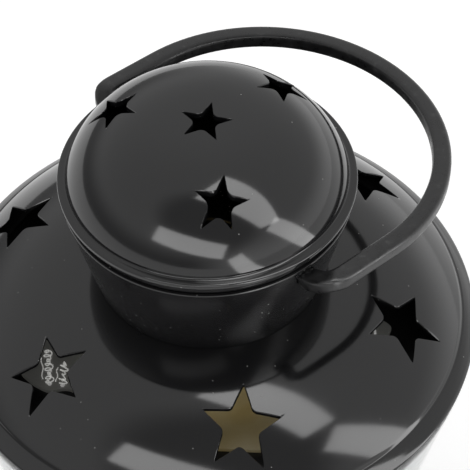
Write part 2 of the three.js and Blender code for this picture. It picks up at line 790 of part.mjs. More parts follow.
// Roof: land for the collar, convex shell, creased edge band and six star openings
function roofShell() {
  const outer = roofArc(0);
  const inner = roofArc(roofWall);
  const steps = 8;
  const arcStart = collarFootRadius + landFillet;
  const arcEnd = creaseRadius - creaseGroove;
  const bandSlope = bandHeight / (rimRadius - creaseRadius);
  const bandDrop = roofWall * Math.hypot(1, bandSlope);
  const skirtInner = rimRadius - roofWall - FIT_GAP;
  const creaseInner = creaseRadius - roofWall * 0.4;
  const bandUnder = (r) => rimTop + bandSlope * (rimRadius - r) - bandDrop;
  const arcRadii = Array.from({ length: steps + 1 }, (_, i) => arcStart + ((arcEnd - arcStart) * i) / steps);
  const outline = [
    [roofOpening, landUnder],
    [roofOpening, landTop],
    [collarFootRadius + SEAT_GAP, landTop],
    [collarFootRadius + landFillet * 0.18, landTop - landHeight * 0.5],
    [collarFootRadius + landFillet * 0.5, landTop - landHeight * 0.88],
    ...arcRadii.map((r) => [r, outer(r)]),
    [creaseRadius, creaseTop - creaseGroove],
    [creaseRadius + creaseGroove, creaseTop - creaseGroove * bandSlope],
    [rimRadius, rimTop],
    [rimRadius, rimBottom],
    [skirtInner, rimBottom],
    [skirtInner, bandUnder(skirtInner)],
    [creaseInner, bandUnder(creaseInner)],
    ...arcRadii.filter((_, i) => i % 2 === 1).reverse().map((r) => [r, inner(r)]),
    [collarFootRadius + landFillet * 0.64, landUnder],
  ];
  const middle = roofArc(roofWall / 2);
  const underRoof = toSolid(
    turned([
      [0, rimBottom - THROUGH],
      [arcEnd, rimBottom - THROUGH],
      ...[...arcRadii].reverse().map((r) => [r, middle(r)]),
      [0, shoulderTop - roofWall / 2],
    ]),
  );
  const collarBossFoot = landTop - screwGrip - 2 * THREAD_END;
  const collarBosses = collarScrews.map(([x, y]) => rod(bossRadius, collarBossFoot, landTop, x, y));
  const ringBosses = ringScrews.map(([x, y]) => rod(bossRadius, ringTop + SEAT_GAP, landTop, x, y));
  const bosses = [...collarBosses, ...ringBosses].map((boss) => toSolid(boss).intersect(underRoof));
  const collarThreads = collarScrews.map(([x, y]) =>
    rod(screwRadius + SCREW_GAP, landTop - screwGrip - THREAD_END, landTop + THROUGH, x, y, SCREW_FACETS),
  );
  const ringThreads = ringScrews.map(([x, y]) =>
    rod(screwRadius + SCREW_GAP, ringTop, ringTop + screwGrip, x, y, SCREW_FACETS),
  );
  const stars = roofStars.map((place) =>
    starPrism(place, creaseRadius, roofStarTip, roofStarWaist, roofStarRound, rimBottom, landTop),
  );
  const body = bosses.reduce((whole, boss) => whole.add(boss), toSolid(turned(outline)));
  return toGeometry(cut(body, [...collarThreads, ...ringThreads, ...stars]));
}

// Collar: tapered cup with a screwed floor, an open middle and the handle's two pivot holes
function collar() {
  const slope = (collarTopRadius - collarFootRadius) / collarHeight;
  const wallAcross = collarWall * Math.hypot(1, slope);
  const floorTop = collarFoot + collarFloor;
  const innerAt = (z) => collarFootRadius + slope * (z - collarFoot) - wallAcross;
  const cup = toSolid(
    turned([
      [collarOpening, collarFoot],
      [collarFootRadius, collarFoot],
      [collarTopRadius, collarTop],
      [innerAt(collarTop), collarTop],
      [innerAt(floorTop), floorTop],
      [collarOpening, floorTop],
    ]),
  );
  const hole = pinRadius + PIN_GAP;
  const pivots = new THREE.CylinderGeometry(hole, hole, 3 * collarTopRadius, 14);
  pivots.rotateZ(radians(handleAzimuth)).translate(0, 0, pivotHeight);
  const screws = collarScrews.map(([x, y]) =>
    rod(screwRadius + FIT_GAP, collarFoot - THROUGH, floorTop + THROUGH, x, y, SCREW_FACETS),
  );
  return toGeometry(cut(cup, [pivots, ...screws]));
}

// Height of the dome above its foot at a distance from the axis
function domeHeight(radius, rise, r) {
  return rise * Math.pow(1 - Math.pow(r / radius, domeRoundness), 1 / domeShoulder);
}

// Domed cap: brim, recessed ring, spigot and four star openings
function domedCap() {
  const bend = [0, 0.28, 0.5, 0.67, 0.81, 0.91, 0.97, 0.994, 1]; // closer together where it turns down
  const innerRadius = domeRadius - domeWall;
  const innerRise = domeRise - domeWall;
  const outerDome = bend.map((s) => {
    const r = s * domeRadius;
    return [r, domeBottom + domeHeight(domeRadius, domeRise, r)];
  });
  const innerDome = bend
    .filter((_, i) => i % 2 === 0)
    .map((s) => {
      const r = s * innerRadius;
      return [r, domeBottom + domeHeight(innerRadius, innerRise, r)];
    });
  const outline = [
    ...outerDome,
    [domeRadius + domeFillet * 0.3, brimTop + domeFoot * 0.35],
    [domeRadius + domeFillet, brimTop],
    [brimRadius - brimRound, brimTop],
    [brimRadius, brimTop - brimRound],
    [brimRadius, brimBottom + brimRound],
    [brimRadius - brimRound, brimBottom],
    [revealRadius, brimBottom],
    [revealRadius, collarTop + SEAT_GAP],
    [spigotRadius, collarTop + SEAT_GAP],
    [spigotRadius, collarTop - spigotDepth],
    [spigotRadius - spigotWall, collarTop - spigotDepth],
    [spigotRadius - spigotWall, brimTop - brimThickness / 3],
    ...innerDome.reverse(),
  ];
  const above = domeBottom + domeRise + THROUGH;
  const stars = domeStars.map((place) =>
    starPrism(place, domeRadius, domeStarTip, domeStarWaist, domeStarRound, brimTop, above),
  );
  return toGeometry(cut(toSolid(turned(outline)), stars));
}

// Handle in its own frame: x along the pivot axis, y the way it lies, z up
function handle() {
  const barEnd = collarTopRadius + FIT_GAP;
  const path = new THREE.CurvePath();
  const point = (x, y) => new THREE.Vector3(x, y, 0);
  const loop = Array.from({ length: handleLoopSteps + 1 }, (_, i) => {
    const turn = (Math.PI * i) / handleLoopSteps;
    return point(handleSpan * Math.cos(turn), handleStraight + handleSpan * Math.sin(turn));
  });
  const corner = handleSpan - handleBend;
  path.add(new THREE.LineCurve3(point(barEnd, 0), point(corner, 0)));
  path.add(
    new THREE.QuadraticBezierCurve3(point(corner, 0), point(handleSpan, 0), point(handleSpan, handleBend)),
  );
  path.add(new THREE.LineCurve3(point(handleSpan, handleBend), point(handleSpan, handleStraight)));
  path.add(new THREE.CatmullRomCurve3(loop));
  path.add(new THREE.LineCurve3(point(-handleSpan, handleStraight), point(-handleSpan, handleBend)));
  path.add(
    new THREE.QuadraticBezierCurve3(point(-handleSpan, handleBend), point(-handleSpan, 0), point(-corner, 0)),
  );
  path.add(new THREE.LineCurve3(point(-corner, 0), point(-barEnd, 0)));
  const sweep = { steps: handleSteps, extrudePath: path, bevelEnabled: false };
  const bar = toSolid(cranked(new THREE.ExtrudeGeometry(handleSection(), sweep), barEnd));
  const slope = (collarTopRadius - collarFootRadius) / collarHeight;
  const wallInside = collarTopRadius - slope * (pivotDrop + pinHeadRadius) - collarWall * Math.hypot(1, slope);
  const headOuter = Math.min(wallInside - FIT_GAP, spigotRadius - spigotWall - FIT_GAP);
  const pins = [-1, 1].flatMap((side) => [
    sideways(pinRadius, headOuter - OVERLAP, barEnd + OVERLAP, side),
    sideways(pinHeadRadius, headOuter - pinHeadLength, headOuter, side),
  ]);
  return toGeometry(join(bar, pins));
}

// The bar raised from its pins over a short length, and hanging down a little beyond
function cranked(geometry, barEnd) {
  const places = geometry.getAttribute("position");
  for (let i = 0; i < places.count; i += 1) {
    const along = Math.abs(places.getX(i)) - barEnd + Math.max(places.getY(i), 0);
    const lift = handleRise * THREE.MathUtils.smoothstep(along, 0, handleRiseLength);
    const hang = Math.max(places.getY(i), 0) * Math.tan(radians(handleDroop));
    places.setZ(i, places.getZ(i) + lift - hang);
  }
  return geometry;
}

// Rounded rectangle across the bar: x is its thickness, y its width
function handleSection() {
  const [x, y] = [handleThickness / 2, handleWidth / 2];
  const corners = [
    [x - handleEdge, -y],
    [x, -y + handleEdge],
    [x, y - handleEdge],
    [x - handleEdge, y],
    [-x + handleEdge, y],
    [-x, y - handleEdge],
    [-x, -y + handleEdge],
    [-x + handleEdge, -y],
  ];
  return new THREE.Shape(corners.map(([cx, cy]) => new THREE.Vector2(cx, cy)));
}

// A cylinder along x from one distance to another, on either side
function sideways(radius, from, to, side) {
  const cylinder = new THREE.CylinderGeometry(radius, radius, to - from, 14);
  return cylinder.rotateZ(Math.PI / 2).translate((side * (from + to)) / 2, 0, 0);
}

// Wires inside the base and the candle: over the tray, up through the deck and to the board
function wires() {
  const [positive, negative] = terminalPlaces();
  const [switchIn, switchOut] = switchTerminals();
  const clear = wireRadius + FIT_GAP;
  const tabTop = trayTop + contactTabRise - OVERLAP * 2;
  const above = trayTop + wireRise;
  const inHole = wireHoleRadius * 0.45;
  const overDeck = deckTop + wireHoleRadius;
  const slack = boardUnder - boardRadius * 1.8;
  const solder = boardRadius * 0.4;
  const boardEnd = boardUnder - FIT_GAP;
  return {
    wire_battery_to_switch: wire(
      [
        [positive[0] + clear, positive[1], tabTop],
        [positive[0] + clear * 2, positive[1] + wireBend, above],
        [trayLength / 2 - wireBend, switchPlace * 0.38, above],
        [switchLength, switchPlace * 0.8, above],
        [switchOut[0] + wireBend / 2, switchPlace - clear, switchOut[2] + wireBend],
        [switchOut[0], switchPlace, switchOut[2] + FIT_GAP],
      ],
      wireRadius,
      16,
    ),
    wire_switch_to_board: wire(
      [
        [switchIn[0], switchPlace, switchIn[2] + FIT_GAP],
        [switchIn[0] - clear / 2, switchPlace - 2 * clear, switchIn[2] + wireBend * 1.2],
        [-clear, switchPlace / 2, above + clear],
        [inHole * 0.8, wireHoleRadius * 0.65, above + wireRise],
        [inHole, clear, overDeck],
        [solder * 1.15, -2 * clear, slack],
        [solder, 0, boardEnd],
      ],
      wireRadius,
      22,
    ),
    wire_battery_to_board: wire(
      [
        [negative[0] - clear, negative[1], tabTop],
        [negative[0] - clear * 1.5, negative[1] - wireBend, above],
        [-trayLength / 3, -2 * clear, above],
        [-inHole * 1.5, -wireBend, above + 2 * clear],
        [-inHole, -clear, overDeck],
        [-solder * 1.15, 1.5 * clear, slack],
        [-solder, 0, boardEnd],
      ],
      wireRadius,
      22,
    ),
  };
}

const group = new THREE.Group();
group.name = "led_lantern";

function addPiece(name, geometry, material, parent = group) {
  const mesh = new THREE.Mesh(geometry, material);
  mesh.name = name;
  parent.add(mesh);
  return mesh;
}

// Copies of one piece, numbered from 1
function addCopies(name, geometries, material) {
  geometries.forEach((geometry, i) => addPiece(`${name}_${i + 1}`, geometry, material));
}

const feetGeometry = feet.map(([x, y]) => rod(footRadius, 0, footHeight - SEAT_GAP, x, y, 16));
addCopies("foot", feetGeometry, feetRubber);
addPiece("base_shell", baseShell(), satinBlack);
addPiece("base_plate", basePlate(), satinBlack);
const plateSeat = plateBottom - SEAT_GAP;
const baseScrewGeometry = baseScrews.map(([x, y]) => screwUp(x, y, plateSeat, plateThickness + screwGrip));
addCopies("base_screw", baseScrewGeometry, steel);
addPiece("battery_door", batteryDoor(), satinBlack);
const doorScrewLength = plateThickness + screwGrip - 2 * THREAD_END;
const doorScrewGeometry = doorScrews.map(([x, y]) => screwUp(x, y, plateSeat, doorScrewLength));
addCopies("battery_door_screw", doorScrewGeometry, steel);
const cellGeometry = cellRows.map((row, i) => cell(row, facing(i)));
addCopies("battery", cellGeometry, cellSleeve);
addCopies("contact_plate", contactPlates(), springSteel);
const springGeometry = cellRows.map((row, i) => contactSpring(row, facing(i)));
addCopies("contact_spring", springGeometry, springSteel);
addPiece("switch_housing", switchHousing(), switchShell);
addPiece("switch_knob", switchKnob(), switchShell);
addPiece("clear_body", clearBody(), clearPlastic);
addPiece("candle_body", candleBody(), ivoryWax);
const candleSeat = deckUnder - SEAT_GAP;
const candleScrewGeometry = candleScrews.map(([x, y]) => screwUp(x, y, candleSeat, deckThickness + screwGrip));
addCopies("candle_screw", candleScrewGeometry, steel);
addPiece("circuit_board", circuitBoard(), boardGreen);
addCopies("board_screw", boardScrews.map(boardScrew), steel);
addPiece("led", led(), amberLens);
addPiece("flame_lens", flameLens(), amberLens);
const wireColours = {
  wire_battery_to_switch: redInsulation,
  wire_switch_to_board: redInsulation,
  wire_battery_to_board: blackInsulation,
};
Object.entries(wires()).forEach(([name, geometry]) => addPiece(name, geometry, wireColours[name]));
addPiece("roof_ring", roofRing(), satinBlack);
const ringSeat = ringUnder - SEAT_GAP;
const ringScrewLength = ringThickness + screwGrip - THREAD_END;
const ringScrewGeometry = ringScrews.map(([x, y]) => screwUp(x, y, ringSeat, ringScrewLength));
addCopies("ring_screw", ringScrewGeometry, steel);
addPiece("star_diffuser", starDiffuser(), warmDiffuser);
addCopies("glue_bead", glue(), clearGlue);
addPiece("roof_shell", roofShell(), glossBlack);
addPiece("collar", collar(), glossBlack);
const collarSeat = collarFoot + collarFloor + SEAT_GAP;
const collarScrewGeometry = collarScrews.map(([x, y]) => screwDown(x, y, collarSeat, collarFloor + screwGrip));
addCopies("collar_screw", collarScrewGeometry, steel);
addPiece("cap_dome", domedCap(), glossBlack);

// The handle turns about its pivot axis, across the way it lies
const handleMount = new THREE.Group();
handleMount.position.set(0, 0, pivotHeight);
handleMount.rotation.z = radians(handleAzimuth - 90);
group.add(handleMount);
addPiece("handle", handle(), satinBlack, handleMount);

export default group;
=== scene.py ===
"""Looks of a battery LED lantern: a domed cap on a collar, a star-pierced roof, a clear body with an LED
candle, and a base with its cells."""

import math

import bpy
from mathutils import Matrix, Vector


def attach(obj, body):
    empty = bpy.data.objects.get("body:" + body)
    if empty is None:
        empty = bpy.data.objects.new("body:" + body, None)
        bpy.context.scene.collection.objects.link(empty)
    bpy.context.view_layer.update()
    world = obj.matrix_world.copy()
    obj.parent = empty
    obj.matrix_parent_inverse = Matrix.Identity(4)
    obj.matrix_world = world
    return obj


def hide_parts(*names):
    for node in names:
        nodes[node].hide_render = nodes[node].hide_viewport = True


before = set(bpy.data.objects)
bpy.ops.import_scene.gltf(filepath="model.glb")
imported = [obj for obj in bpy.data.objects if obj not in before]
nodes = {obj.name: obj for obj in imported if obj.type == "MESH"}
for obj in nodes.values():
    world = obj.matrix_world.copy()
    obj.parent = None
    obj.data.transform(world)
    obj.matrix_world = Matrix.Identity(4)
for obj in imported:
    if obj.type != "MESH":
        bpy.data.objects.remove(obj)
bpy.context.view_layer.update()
bpy.ops.object.select_all(action="DESELECT")

# Feet
# Four rubber feet glued under the skirt's plate: moulded discs with a rounded edge and a dished
# underside. The rubber is matt and picks up grey dust where it stands.
MM = 0.001


def polar(radius, azimuth, height=0.0):
    """A point in mm at a distance from the axis, an azimuth in degrees and a height."""
    turn = math.radians(azimuth)
    return Vector((radius * math.cos(turn), radius * math.sin(turn), height))


def alone(piece):
    """Leaves edit mode and makes a piece the only one selected."""
    if bpy.context.mode == "EDIT_MESH":
        bpy.ops.object.mode_set(mode="OBJECT")
    bpy.ops.object.select_all(action="DESELECT")
    bpy.context.view_layer.objects.active = piece
    piece.select_set(True)


def close_edit(piece, name=None):
    """Back to object mode, with the piece at the origin and its place in its mesh."""
    alone(piece)
    bpy.ops.object.transform_apply(location=True, rotation=True, scale=True)
    if name:
        piece.name = name
        piece.data.name = name
    return piece


def smooth(piece, angle=30):
    """Shades a piece smooth, with its edges sharper than an angle left crisp."""
    close_edit(piece)
    bpy.ops.object.shade_smooth_by_angle(angle=math.radians(angle))
    return piece


def turned(name, outline, steps=180, closed=True, crisp=30):
    """A piece spun round the main axis from its outline of (radius, height) in mm."""
    points = [Vector((r, 0, z)) * MM for r, z in outline]
    if closed and (outline[0][0] > 0 or outline[-1][0] > 0):
        points.append(points[0].copy())
    bpy.ops.mesh.primitive_plane_add(size=0.001)
    piece = bpy.context.object
    bpy.ops.object.mode_set(mode="EDIT")
    bpy.ops.mesh.select_mode(type="VERT")
    bpy.ops.mesh.merge(type="CENTER")
    bpy.ops.transform.translate(value=points[0])
    for here, there in zip(points, points[1:]):
        bpy.ops.mesh.extrude_region_move(TRANSFORM_OT_translate={"value": there - here})
    bpy.ops.mesh.select_all(action="SELECT")
    bpy.ops.mesh.spin(steps=steps, angle=math.tau, center=(0, 0, 0), axis=(0, 0, 1))
    bpy.ops.mesh.select_all(action="SELECT")
    bpy.ops.mesh.remove_doubles(threshold=0.00001)
    bpy.ops.mesh.normals_make_consistent(inside=False)
    close_edit(piece, name)
    return smooth(piece, crisp)


def rounded(corners, radius=0.4, steps=3):
    """An outline in mm with its corners rounded: a corner may carry its own radius as a third value."""
    points = []
    count = len(corners)
    for i, corner in enumerate(corners):
        here = Vector(corner[:2])
        size = corner[2] if len(corner) > 2 else radius
        before = Vector(corners[i - 1][:2]) - here
        after = Vector(corners[(i + 1) % count][:2]) - here
        if size <= 0:
            points.append(tuple(here))
            continue
        reach = min(size, 0.48 * before.length, 0.48 * after.length)
        start = here + before.normalized() * reach
        end = here + after.normalized() * reach
        for k in range(steps + 1):
            t = k / steps
            points.append(tuple((1 - t) ** 2 * start + 2 * t * (1 - t) * here + t * t * end))
    return points


def placed_copy(piece, name, move, spin=0.0):
    """A copy with its own mesh, turned about the main axis and then moved, in degrees and mm."""
    copy = piece.copy()
    copy.data = piece.data.copy()
    bpy.context.scene.collection.objects.link(copy)
    copy.rotation_euler = (0, 0, math.radians(spin))
    copy.location = Vector(move) * MM
    return close_edit(copy, name)


def linear(hex_colour):
    """A hex sRGB colour as linear light, with its alpha."""
    channels = [(hex_colour >> shift & 255) / 255 for shift in (16, 8, 0)]
    return [c / 12.92 if c <= 0.04045 else ((c + 0.055) / 1.055) ** 2.4 for c in channels] + [1.0]


def add_node(material, kind, inputs=None, stops=None, **settings):
    """Adds a node: inputs by name or number, each a value, or a node or socket to link; stops for a ramp."""
    tree = material.node_tree
    node = tree.nodes.new("ShaderNode" + kind)
    for key, value in settings.items():
        setattr(node, key, value)
    for key, value in (inputs or {}).items():
        if isinstance(value, bpy.types.Node):
            value = value.outputs[0]
        if isinstance(value, bpy.types.NodeSocket):
            tree.links.new(value, node.inputs[key])
        else:
            node.inputs[key].default_value = value
    if stops:
        while len(node.color_ramp.elements) < len(stops):
            node.color_ramp.elements.new(0.5)
        for element, (place, colour) in zip(node.color_ramp.elements, stops):
            element.position = place
            element.color = linear(colour)
    return node


def blank_material(name):
    """A material with nothing in it yet, and a piece's own coordinates to lay its patterns out by."""
    material = bpy.data.materials.new(name)
    material.use_nodes = True
    material.node_tree.nodes.clear()
    return material, add_node(material, "TexCoord").outputs["Object"]


def finished(material, kind, inputs):
    """Adds a material's last shader and links it to the output."""
    shader = add_node(material, kind, inputs)
    add_node(material, "OutputMaterial", {"Surface": shader})
    return material


def dress(piece, material, body="lantern", stands_for=()):
    """Gives a new piece its material, its body and the CAD nodes it stands for."""
    piece.data.materials.clear()
    piece.data.materials.append(material)
    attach(piece, body)
    if stands_for:
        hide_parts(*stands_for)
    return piece


def mottled(name, mottle, tones, gloss, relief=None, look=None):
    """A finish whose tone, gloss and relief follow one fine mottle.

    The mottle is its noise settings, the tones run from its low to its high places, the gloss is one
    roughness or a range, the relief is a strength and a depth in metres, and the look is what else is set.
    """
    material, place = blank_material(name)
    cloud = add_node(material, "TexNoise", {"Vector": place, **mottle})
    settings = {"Base Color": add_node(material, "ValToRGB", {"Fac": cloud}, stops=tones), "Roughness": gloss}
    if isinstance(gloss, tuple):
        settings["Roughness"] = add_node(material, "MapRange", {
            "Value": cloud, "From Min": 0.3, "From Max": 0.7, "To Min": gloss[0], "To Max": gloss[1]})
    if relief:
        strength, depth = relief
        bumps = {"Strength": strength, "Distance": depth, "Height": cloud}
        settings["Normal"] = add_node(material, "Bump", bumps)
    return finished(material, "BsdfPrincipled", {**settings, **(look or {})})


# Natural rubber, moulded: no gloss to speak of, a fine grain, and dust in the pores.
foot_rubber = mottled(
    "moulded_rubber", {"Scale": 1400.0, "Detail": 4.0},
    [(0.35, 0x1B1B1B), (0.62, 0x262626), (0.75, 0x4A4844)], 0.82, (0.5, 0.00008), {"IOR": 1.52})

foot_edge = rounded([(3.3, 0.0), (5.0, 0.0), (5.0, 2.4), (4.6, 2.4)], 0.5)[2:-2]
foot = turned("foot", [(0, 0.5), (3.1, 0.5)] + foot_edge + [(0, 2.4)], 48)
for i in range(4):
    one = placed_copy(foot, f"rubber_foot_{i + 1}", polar(46, 45 + 90 * i))
    dress(one, foot_rubber, stands_for=[f"foot_{i + 1}"])
bpy.data.objects.remove(foot)

# Base shell
# The flared skirt with its deck and the lip that holds the clear body: black ABS, one moulding, with
# three screw bosses hanging inside it and a hole in the deck for the wires.
def three_round(radius, azimuth):
    """Three places in mm, spaced evenly round the axis."""
    return [tuple(polar(radius, azimuth + 120 * i)[:2]) for i in range(3)]


def pegs(name, places, radius, bottom, top, sides=32):
    """Upright cylinders at several places, as one object: bosses to join on, or holes to cut."""
    made = []
    for x, y in places:
        bpy.ops.mesh.primitive_cylinder_add(
            vertices=sides, radius=radius * MM, depth=(top - bottom) * MM,
            location=(x * MM, y * MM, (bottom + top) / 2 * MM))
        made.append(close_edit(bpy.context.object, name))
    for peg in made:
        peg.select_set(True)
    bpy.ops.object.join()
    return close_edit(bpy.context.object, name)


def modified(piece, kind, **settings):
    """Adds a modifier of one kind to a piece and applies it."""
    close_edit(piece)
    bpy.ops.object.modifier_add(type=kind)
    modifier = piece.modifiers[-1]
    for key, value in settings.items():
        setattr(modifier, key, value)
    bpy.ops.object.modifier_apply(modifier=modifier.name)
    return piece


def cut_away(piece, *cutters, how="DIFFERENCE"):
    """Cuts pieces out of a piece, or joins them to it, and clears the cutters away."""
    for cutter in cutters:
        modified(piece, "BOOLEAN", operation=how, solver="EXACT", object=cutter)
        bpy.data.objects.remove(cutter)
    return piece


DECK, SKIRT_TOP = 28.0, 5.5
LIP_R, LIP_TOP, LIP_WALL, SKIRT_WALL = 49.02, 31.0, 1.6, 2.0
skirt = [(54.0, 2.7), (54.2, 2.5), (55.6, 2.5), (55.9, 2.65), (56.0, 2.95), (56.0, 5.2)]
skirt += [(LIP_R + 6.98 * (1 - i / 16) ** 1.75, SKIRT_TOP + 22.5 * i / 16) for i in range(17)]
skirt += rounded([
    (LIP_R, DECK, 0), (LIP_R, LIP_TOP, 0.5), (LIP_R - LIP_WALL, LIP_TOP, 0.5),
    (LIP_R - LIP_WALL, DECK, 0.3), (6.0, DECK, 0.3), (6.0, DECK - 2.0, 0.3),
    (LIP_R - SKIRT_WALL, DECK - 2.0, 1.0)], 0.3)[1:]
skirt += [(LIP_R - SKIRT_WALL + 3.14 * i / 5, 25.5 - 9.7 * i / 5) for i in range(1, 6)]
skirt += [(50.9, 13.8), (51.9, 11.3), (53.0, 8.6), (54.0, 5.5)]
shell = turned("base_shell_moulding", skirt, 144)
base_screw_places = three_round(44, 90)
candle_screw_places = [(17.5, 0), (-17.5, 0)]
cut_away(shell, pegs("bosses", base_screw_places, 3.2, 5.6, 26.5), how="UNION")
cut_away(
    shell, pegs("threads", base_screw_places, 1.3, 5.0, 12.5),
    pegs("candle_holes", candle_screw_places, 1.5, 25, 29))
smooth(shell, 35)

# ABS from a fine-textured tool: satin and a little uneven in tone and gloss.
def satin_abs(name, scale=45.0):
    """Satin black ABS, with the size of its cloudiness."""
    material, place = blank_material(name)
    grain = add_node(material, "TexNoise", {"Vector": place, "Scale": 3500.0})
    cloud = add_node(material, "TexNoise", {"Vector": place, "Scale": scale, "Detail": 5.0})
    worn = add_node(material, "MapRange", {
        "Value": cloud, "From Min": 0.3, "From Max": 0.7, "To Min": 0.26, "To Max": 0.42})
    tint = add_node(material, "ValToRGB", {"Fac": cloud}, stops=[(0.3, 0x141415), (0.75, 0x1D1D1E)])
    eroded = add_node(material, "Bump", {"Strength": 0.4, "Distance": 0.00003, "Height": grain})
    return finished(material, "BsdfPrincipled", {
        "Base Color": tint, "Roughness": worn, "IOR": 1.52, "Normal": eroded})


satin_black = satin_abs("satin_black_abs")
dress(shell, satin_black, stands_for=["base_shell"])

# Base plate
# Closes the skirt from below and carries the battery tray and the slide switch: black ABS, with a recess
# for the door, a slot for the switch's knob and slots for the contacts' tabs.
plate_edge = rounded([(40.0, 2.5, 0), (53.7, 2.5), (53.7, 5.5), (40.0, 5.5, 0)], 0.6)
plate = turned("base_plate_moulding", [(0, 2.5)] + plate_edge + [(0, 5.5)], 144)


def edit(piece):
    """Opens one piece in edit mode, all of it selected."""
    alone(piece)
    bpy.ops.object.mode_set(mode="EDIT")
    bpy.ops.mesh.select_all(action="SELECT")


def slab(name, outline, bottom, top, bevel=0.0):
    """A flat plate from its outline in mm, between two heights, its edges rounded by a bevel."""
    bpy.ops.mesh.primitive_circle_add(vertices=len(outline), radius=0.01, fill_type="NGON")
    plate = bpy.context.object
    for vertex, (x, y) in zip(plate.data.vertices, outline):
        vertex.co = (x * MM, y * MM, bottom * MM)
    edit(plate)
    bpy.ops.mesh.extrude_region_move(TRANSFORM_OT_translate={"value": (0, 0, (top - bottom) * MM)})
    bpy.ops.mesh.select_all(action="SELECT")
    bpy.ops.mesh.normals_make_consistent(inside=False)
    close_edit(plate, name)
    if bevel:
        sharp = math.radians(40)
        modified(plate, "BEVEL", width=bevel * MM, segments=3, limit_method="ANGLE", angle_limit=sharp)
    return plate


def box_outline(x0, x1, y0, y1):
    """Four corners of a rectangle."""
    return [(x0, y0), (x1, y0), (x1, y1), (x0, y1)]


def door_outline(grow):
    """The door seen from below: a rectangle with a screw tab at each end."""
    x, y, tab_x, tab_y = 28.7 + grow, 18.0 + grow, 36.7 + grow, 6.0 + grow
    return [
        (-tab_x, -tab_y), (-x, -tab_y), (-x, -y), (x, -y), (x, -tab_y), (tab_x, -tab_y), (tab_x, tab_y),
        (x, tab_y), (x, y), (-x, y), (-x, tab_y), (-tab_x, tab_y)]


door_screw_places = [(-32.7, 0), (32.7, 0)]
cut_away(
    plate, slab("tray", box_outline(-28.6, 28.6, -17.9, 17.9), 5.0, 16.7, 0.5),
    pegs("bosses", door_screw_places, 3.2, 5.0, 11.5), how="UNION")
cut_away(
    plate, slab("tray_inside", box_outline(-27, 27, -16.3, 16.3), 1.5, 15.1),
    slab("recess", door_outline(0.3), 1.5, 4.1))
cut_away(
    plate, slab("knob_slot", rounded(box_outline(-3.3, 3.3, 30.5, 33.5), 0.4), 1.5, 6.5),
    pegs("door_threads", door_screw_places, 1.3, 1.5, 10.5),
    pegs("base_holes", base_screw_places, 1.5, 1.5, 6.5),
    slab("tab_slot", box_outline(26.0, 27.0, -12.7, -9.1), 14.1, 17.7),
    slab("tab_slot", box_outline(-27.0, -26.0, 9.1, 12.7), 14.1, 17.7))
smooth(plate, 35)
plate_black = satin_abs("satin_black_abs_plate", 70.0)
dress(plate, plate_black, stands_for=["base_plate"])

# Battery door
# A flat lid over the cells, moulded in black ABS with a sunk panel. A screw through the tab at each end
# holds it to the plate, and both screws stay in it when it comes off.
door = slab("battery_door_lid", rounded(door_outline(0), 0.8), 2.5, 4.0, 0.25)
sunk = slab("sunk_panel", rounded(box_outline(-25, 25, -14.5, 14.5), 2.5, 6), 1.0, 2.8)
cut_away(door, sunk, pegs("door_holes", door_screw_places, 1.5, 1.5, 5.0))
smooth(door, 35)
dress(door, plate_black, "battery_door", ["battery_door"])

# Screws
# Self-tapping pan-head screws of zinc-plated steel: a rounded head with a cross recess, pressed cold, and
# a rolled thread that cuts its own way into the plastic bosses.
def screw(name, shank, length, head, height, pitch=0.9):
    """A screw that points up, with its head under the origin."""
    outline = [
        (0, -height), (head * 0.55, -height), (head * 0.82, -height * 0.86), (head * 0.96, -height * 0.55),
        (head, -height * 0.2), (head * 0.97, 0), (shank * 0.82, 0)]
    turns = int((length - 1.0) / pitch)
    for i in range(turns):
        z = 0.25 + pitch * i
        outline += [
            (shank * 0.8, z), (shank * 0.8, z + pitch * 0.42), (shank, z + pitch * 0.62),
            (shank, z + pitch * 0.7), (shank * 0.8, z + pitch * 0.9)]
    outline += [(shank * 0.72, length - 0.7), (shank * 0.3, length - 0.05), (0, length)]
    item = turned(name, outline, 28)
    for spin in (0, math.pi / 2):
        bpy.ops.mesh.primitive_cube_add(size=1, location=(0, 0, -height * MM), rotation=(0, 0, spin))
        bar = bpy.context.object
        bar.scale = (head * 1.15 * MM, head * 0.26 * MM, height * 1.1 * MM)
        cut_away(item, close_edit(bar, "recess"))
    return smooth(item, 30)


# Zinc plate: a bright, slightly bluish metal with a fine uneven gloss and dull patches from handling.
zinc = mottled(
    "zinc_plated_steel", {"Scale": 900.0, "Detail": 4.0}, [(0.35, 0xB4B8BC), (0.7, 0x8F9498)], (0.22, 0.45),
    look={"Metallic": 1.0})


def set_screws(
        kind, places, height, spin, length, shank=1.2, head=2.3, rise=1.2, pitch=0.9, node=None,
        body="lantern", points_down=False):
    """Sets copies of one screw at their places, each turned a little further, for the CAD's screws."""
    model = screw(f"{kind}_screw", shank, length, head, rise, pitch)
    if points_down:
        model.rotation_euler = (math.pi, 0, 0)
        close_edit(model)
    for i, (x, y) in enumerate(places):
        one = placed_copy(model, f"pan_screw_{kind}_{i + 1}", (x, y, height), spin * i)
        dress(one, zinc, body, [f"{node or kind + '_screw'}_{i + 1}"])
    bpy.data.objects.remove(model)


set_screws("base", base_screw_places, 2.4, 0, 9.0)
set_screws("door", door_screw_places, 2.4, 25, 7.0, node="battery_door_screw", body="battery_door")

# Cells and their contacts
# Three AAA cells side by side, each a steel can in a printed shrink sleeve with a copper-coloured band at
# its positive end. Plated strips and coiled springs join them one after the other.

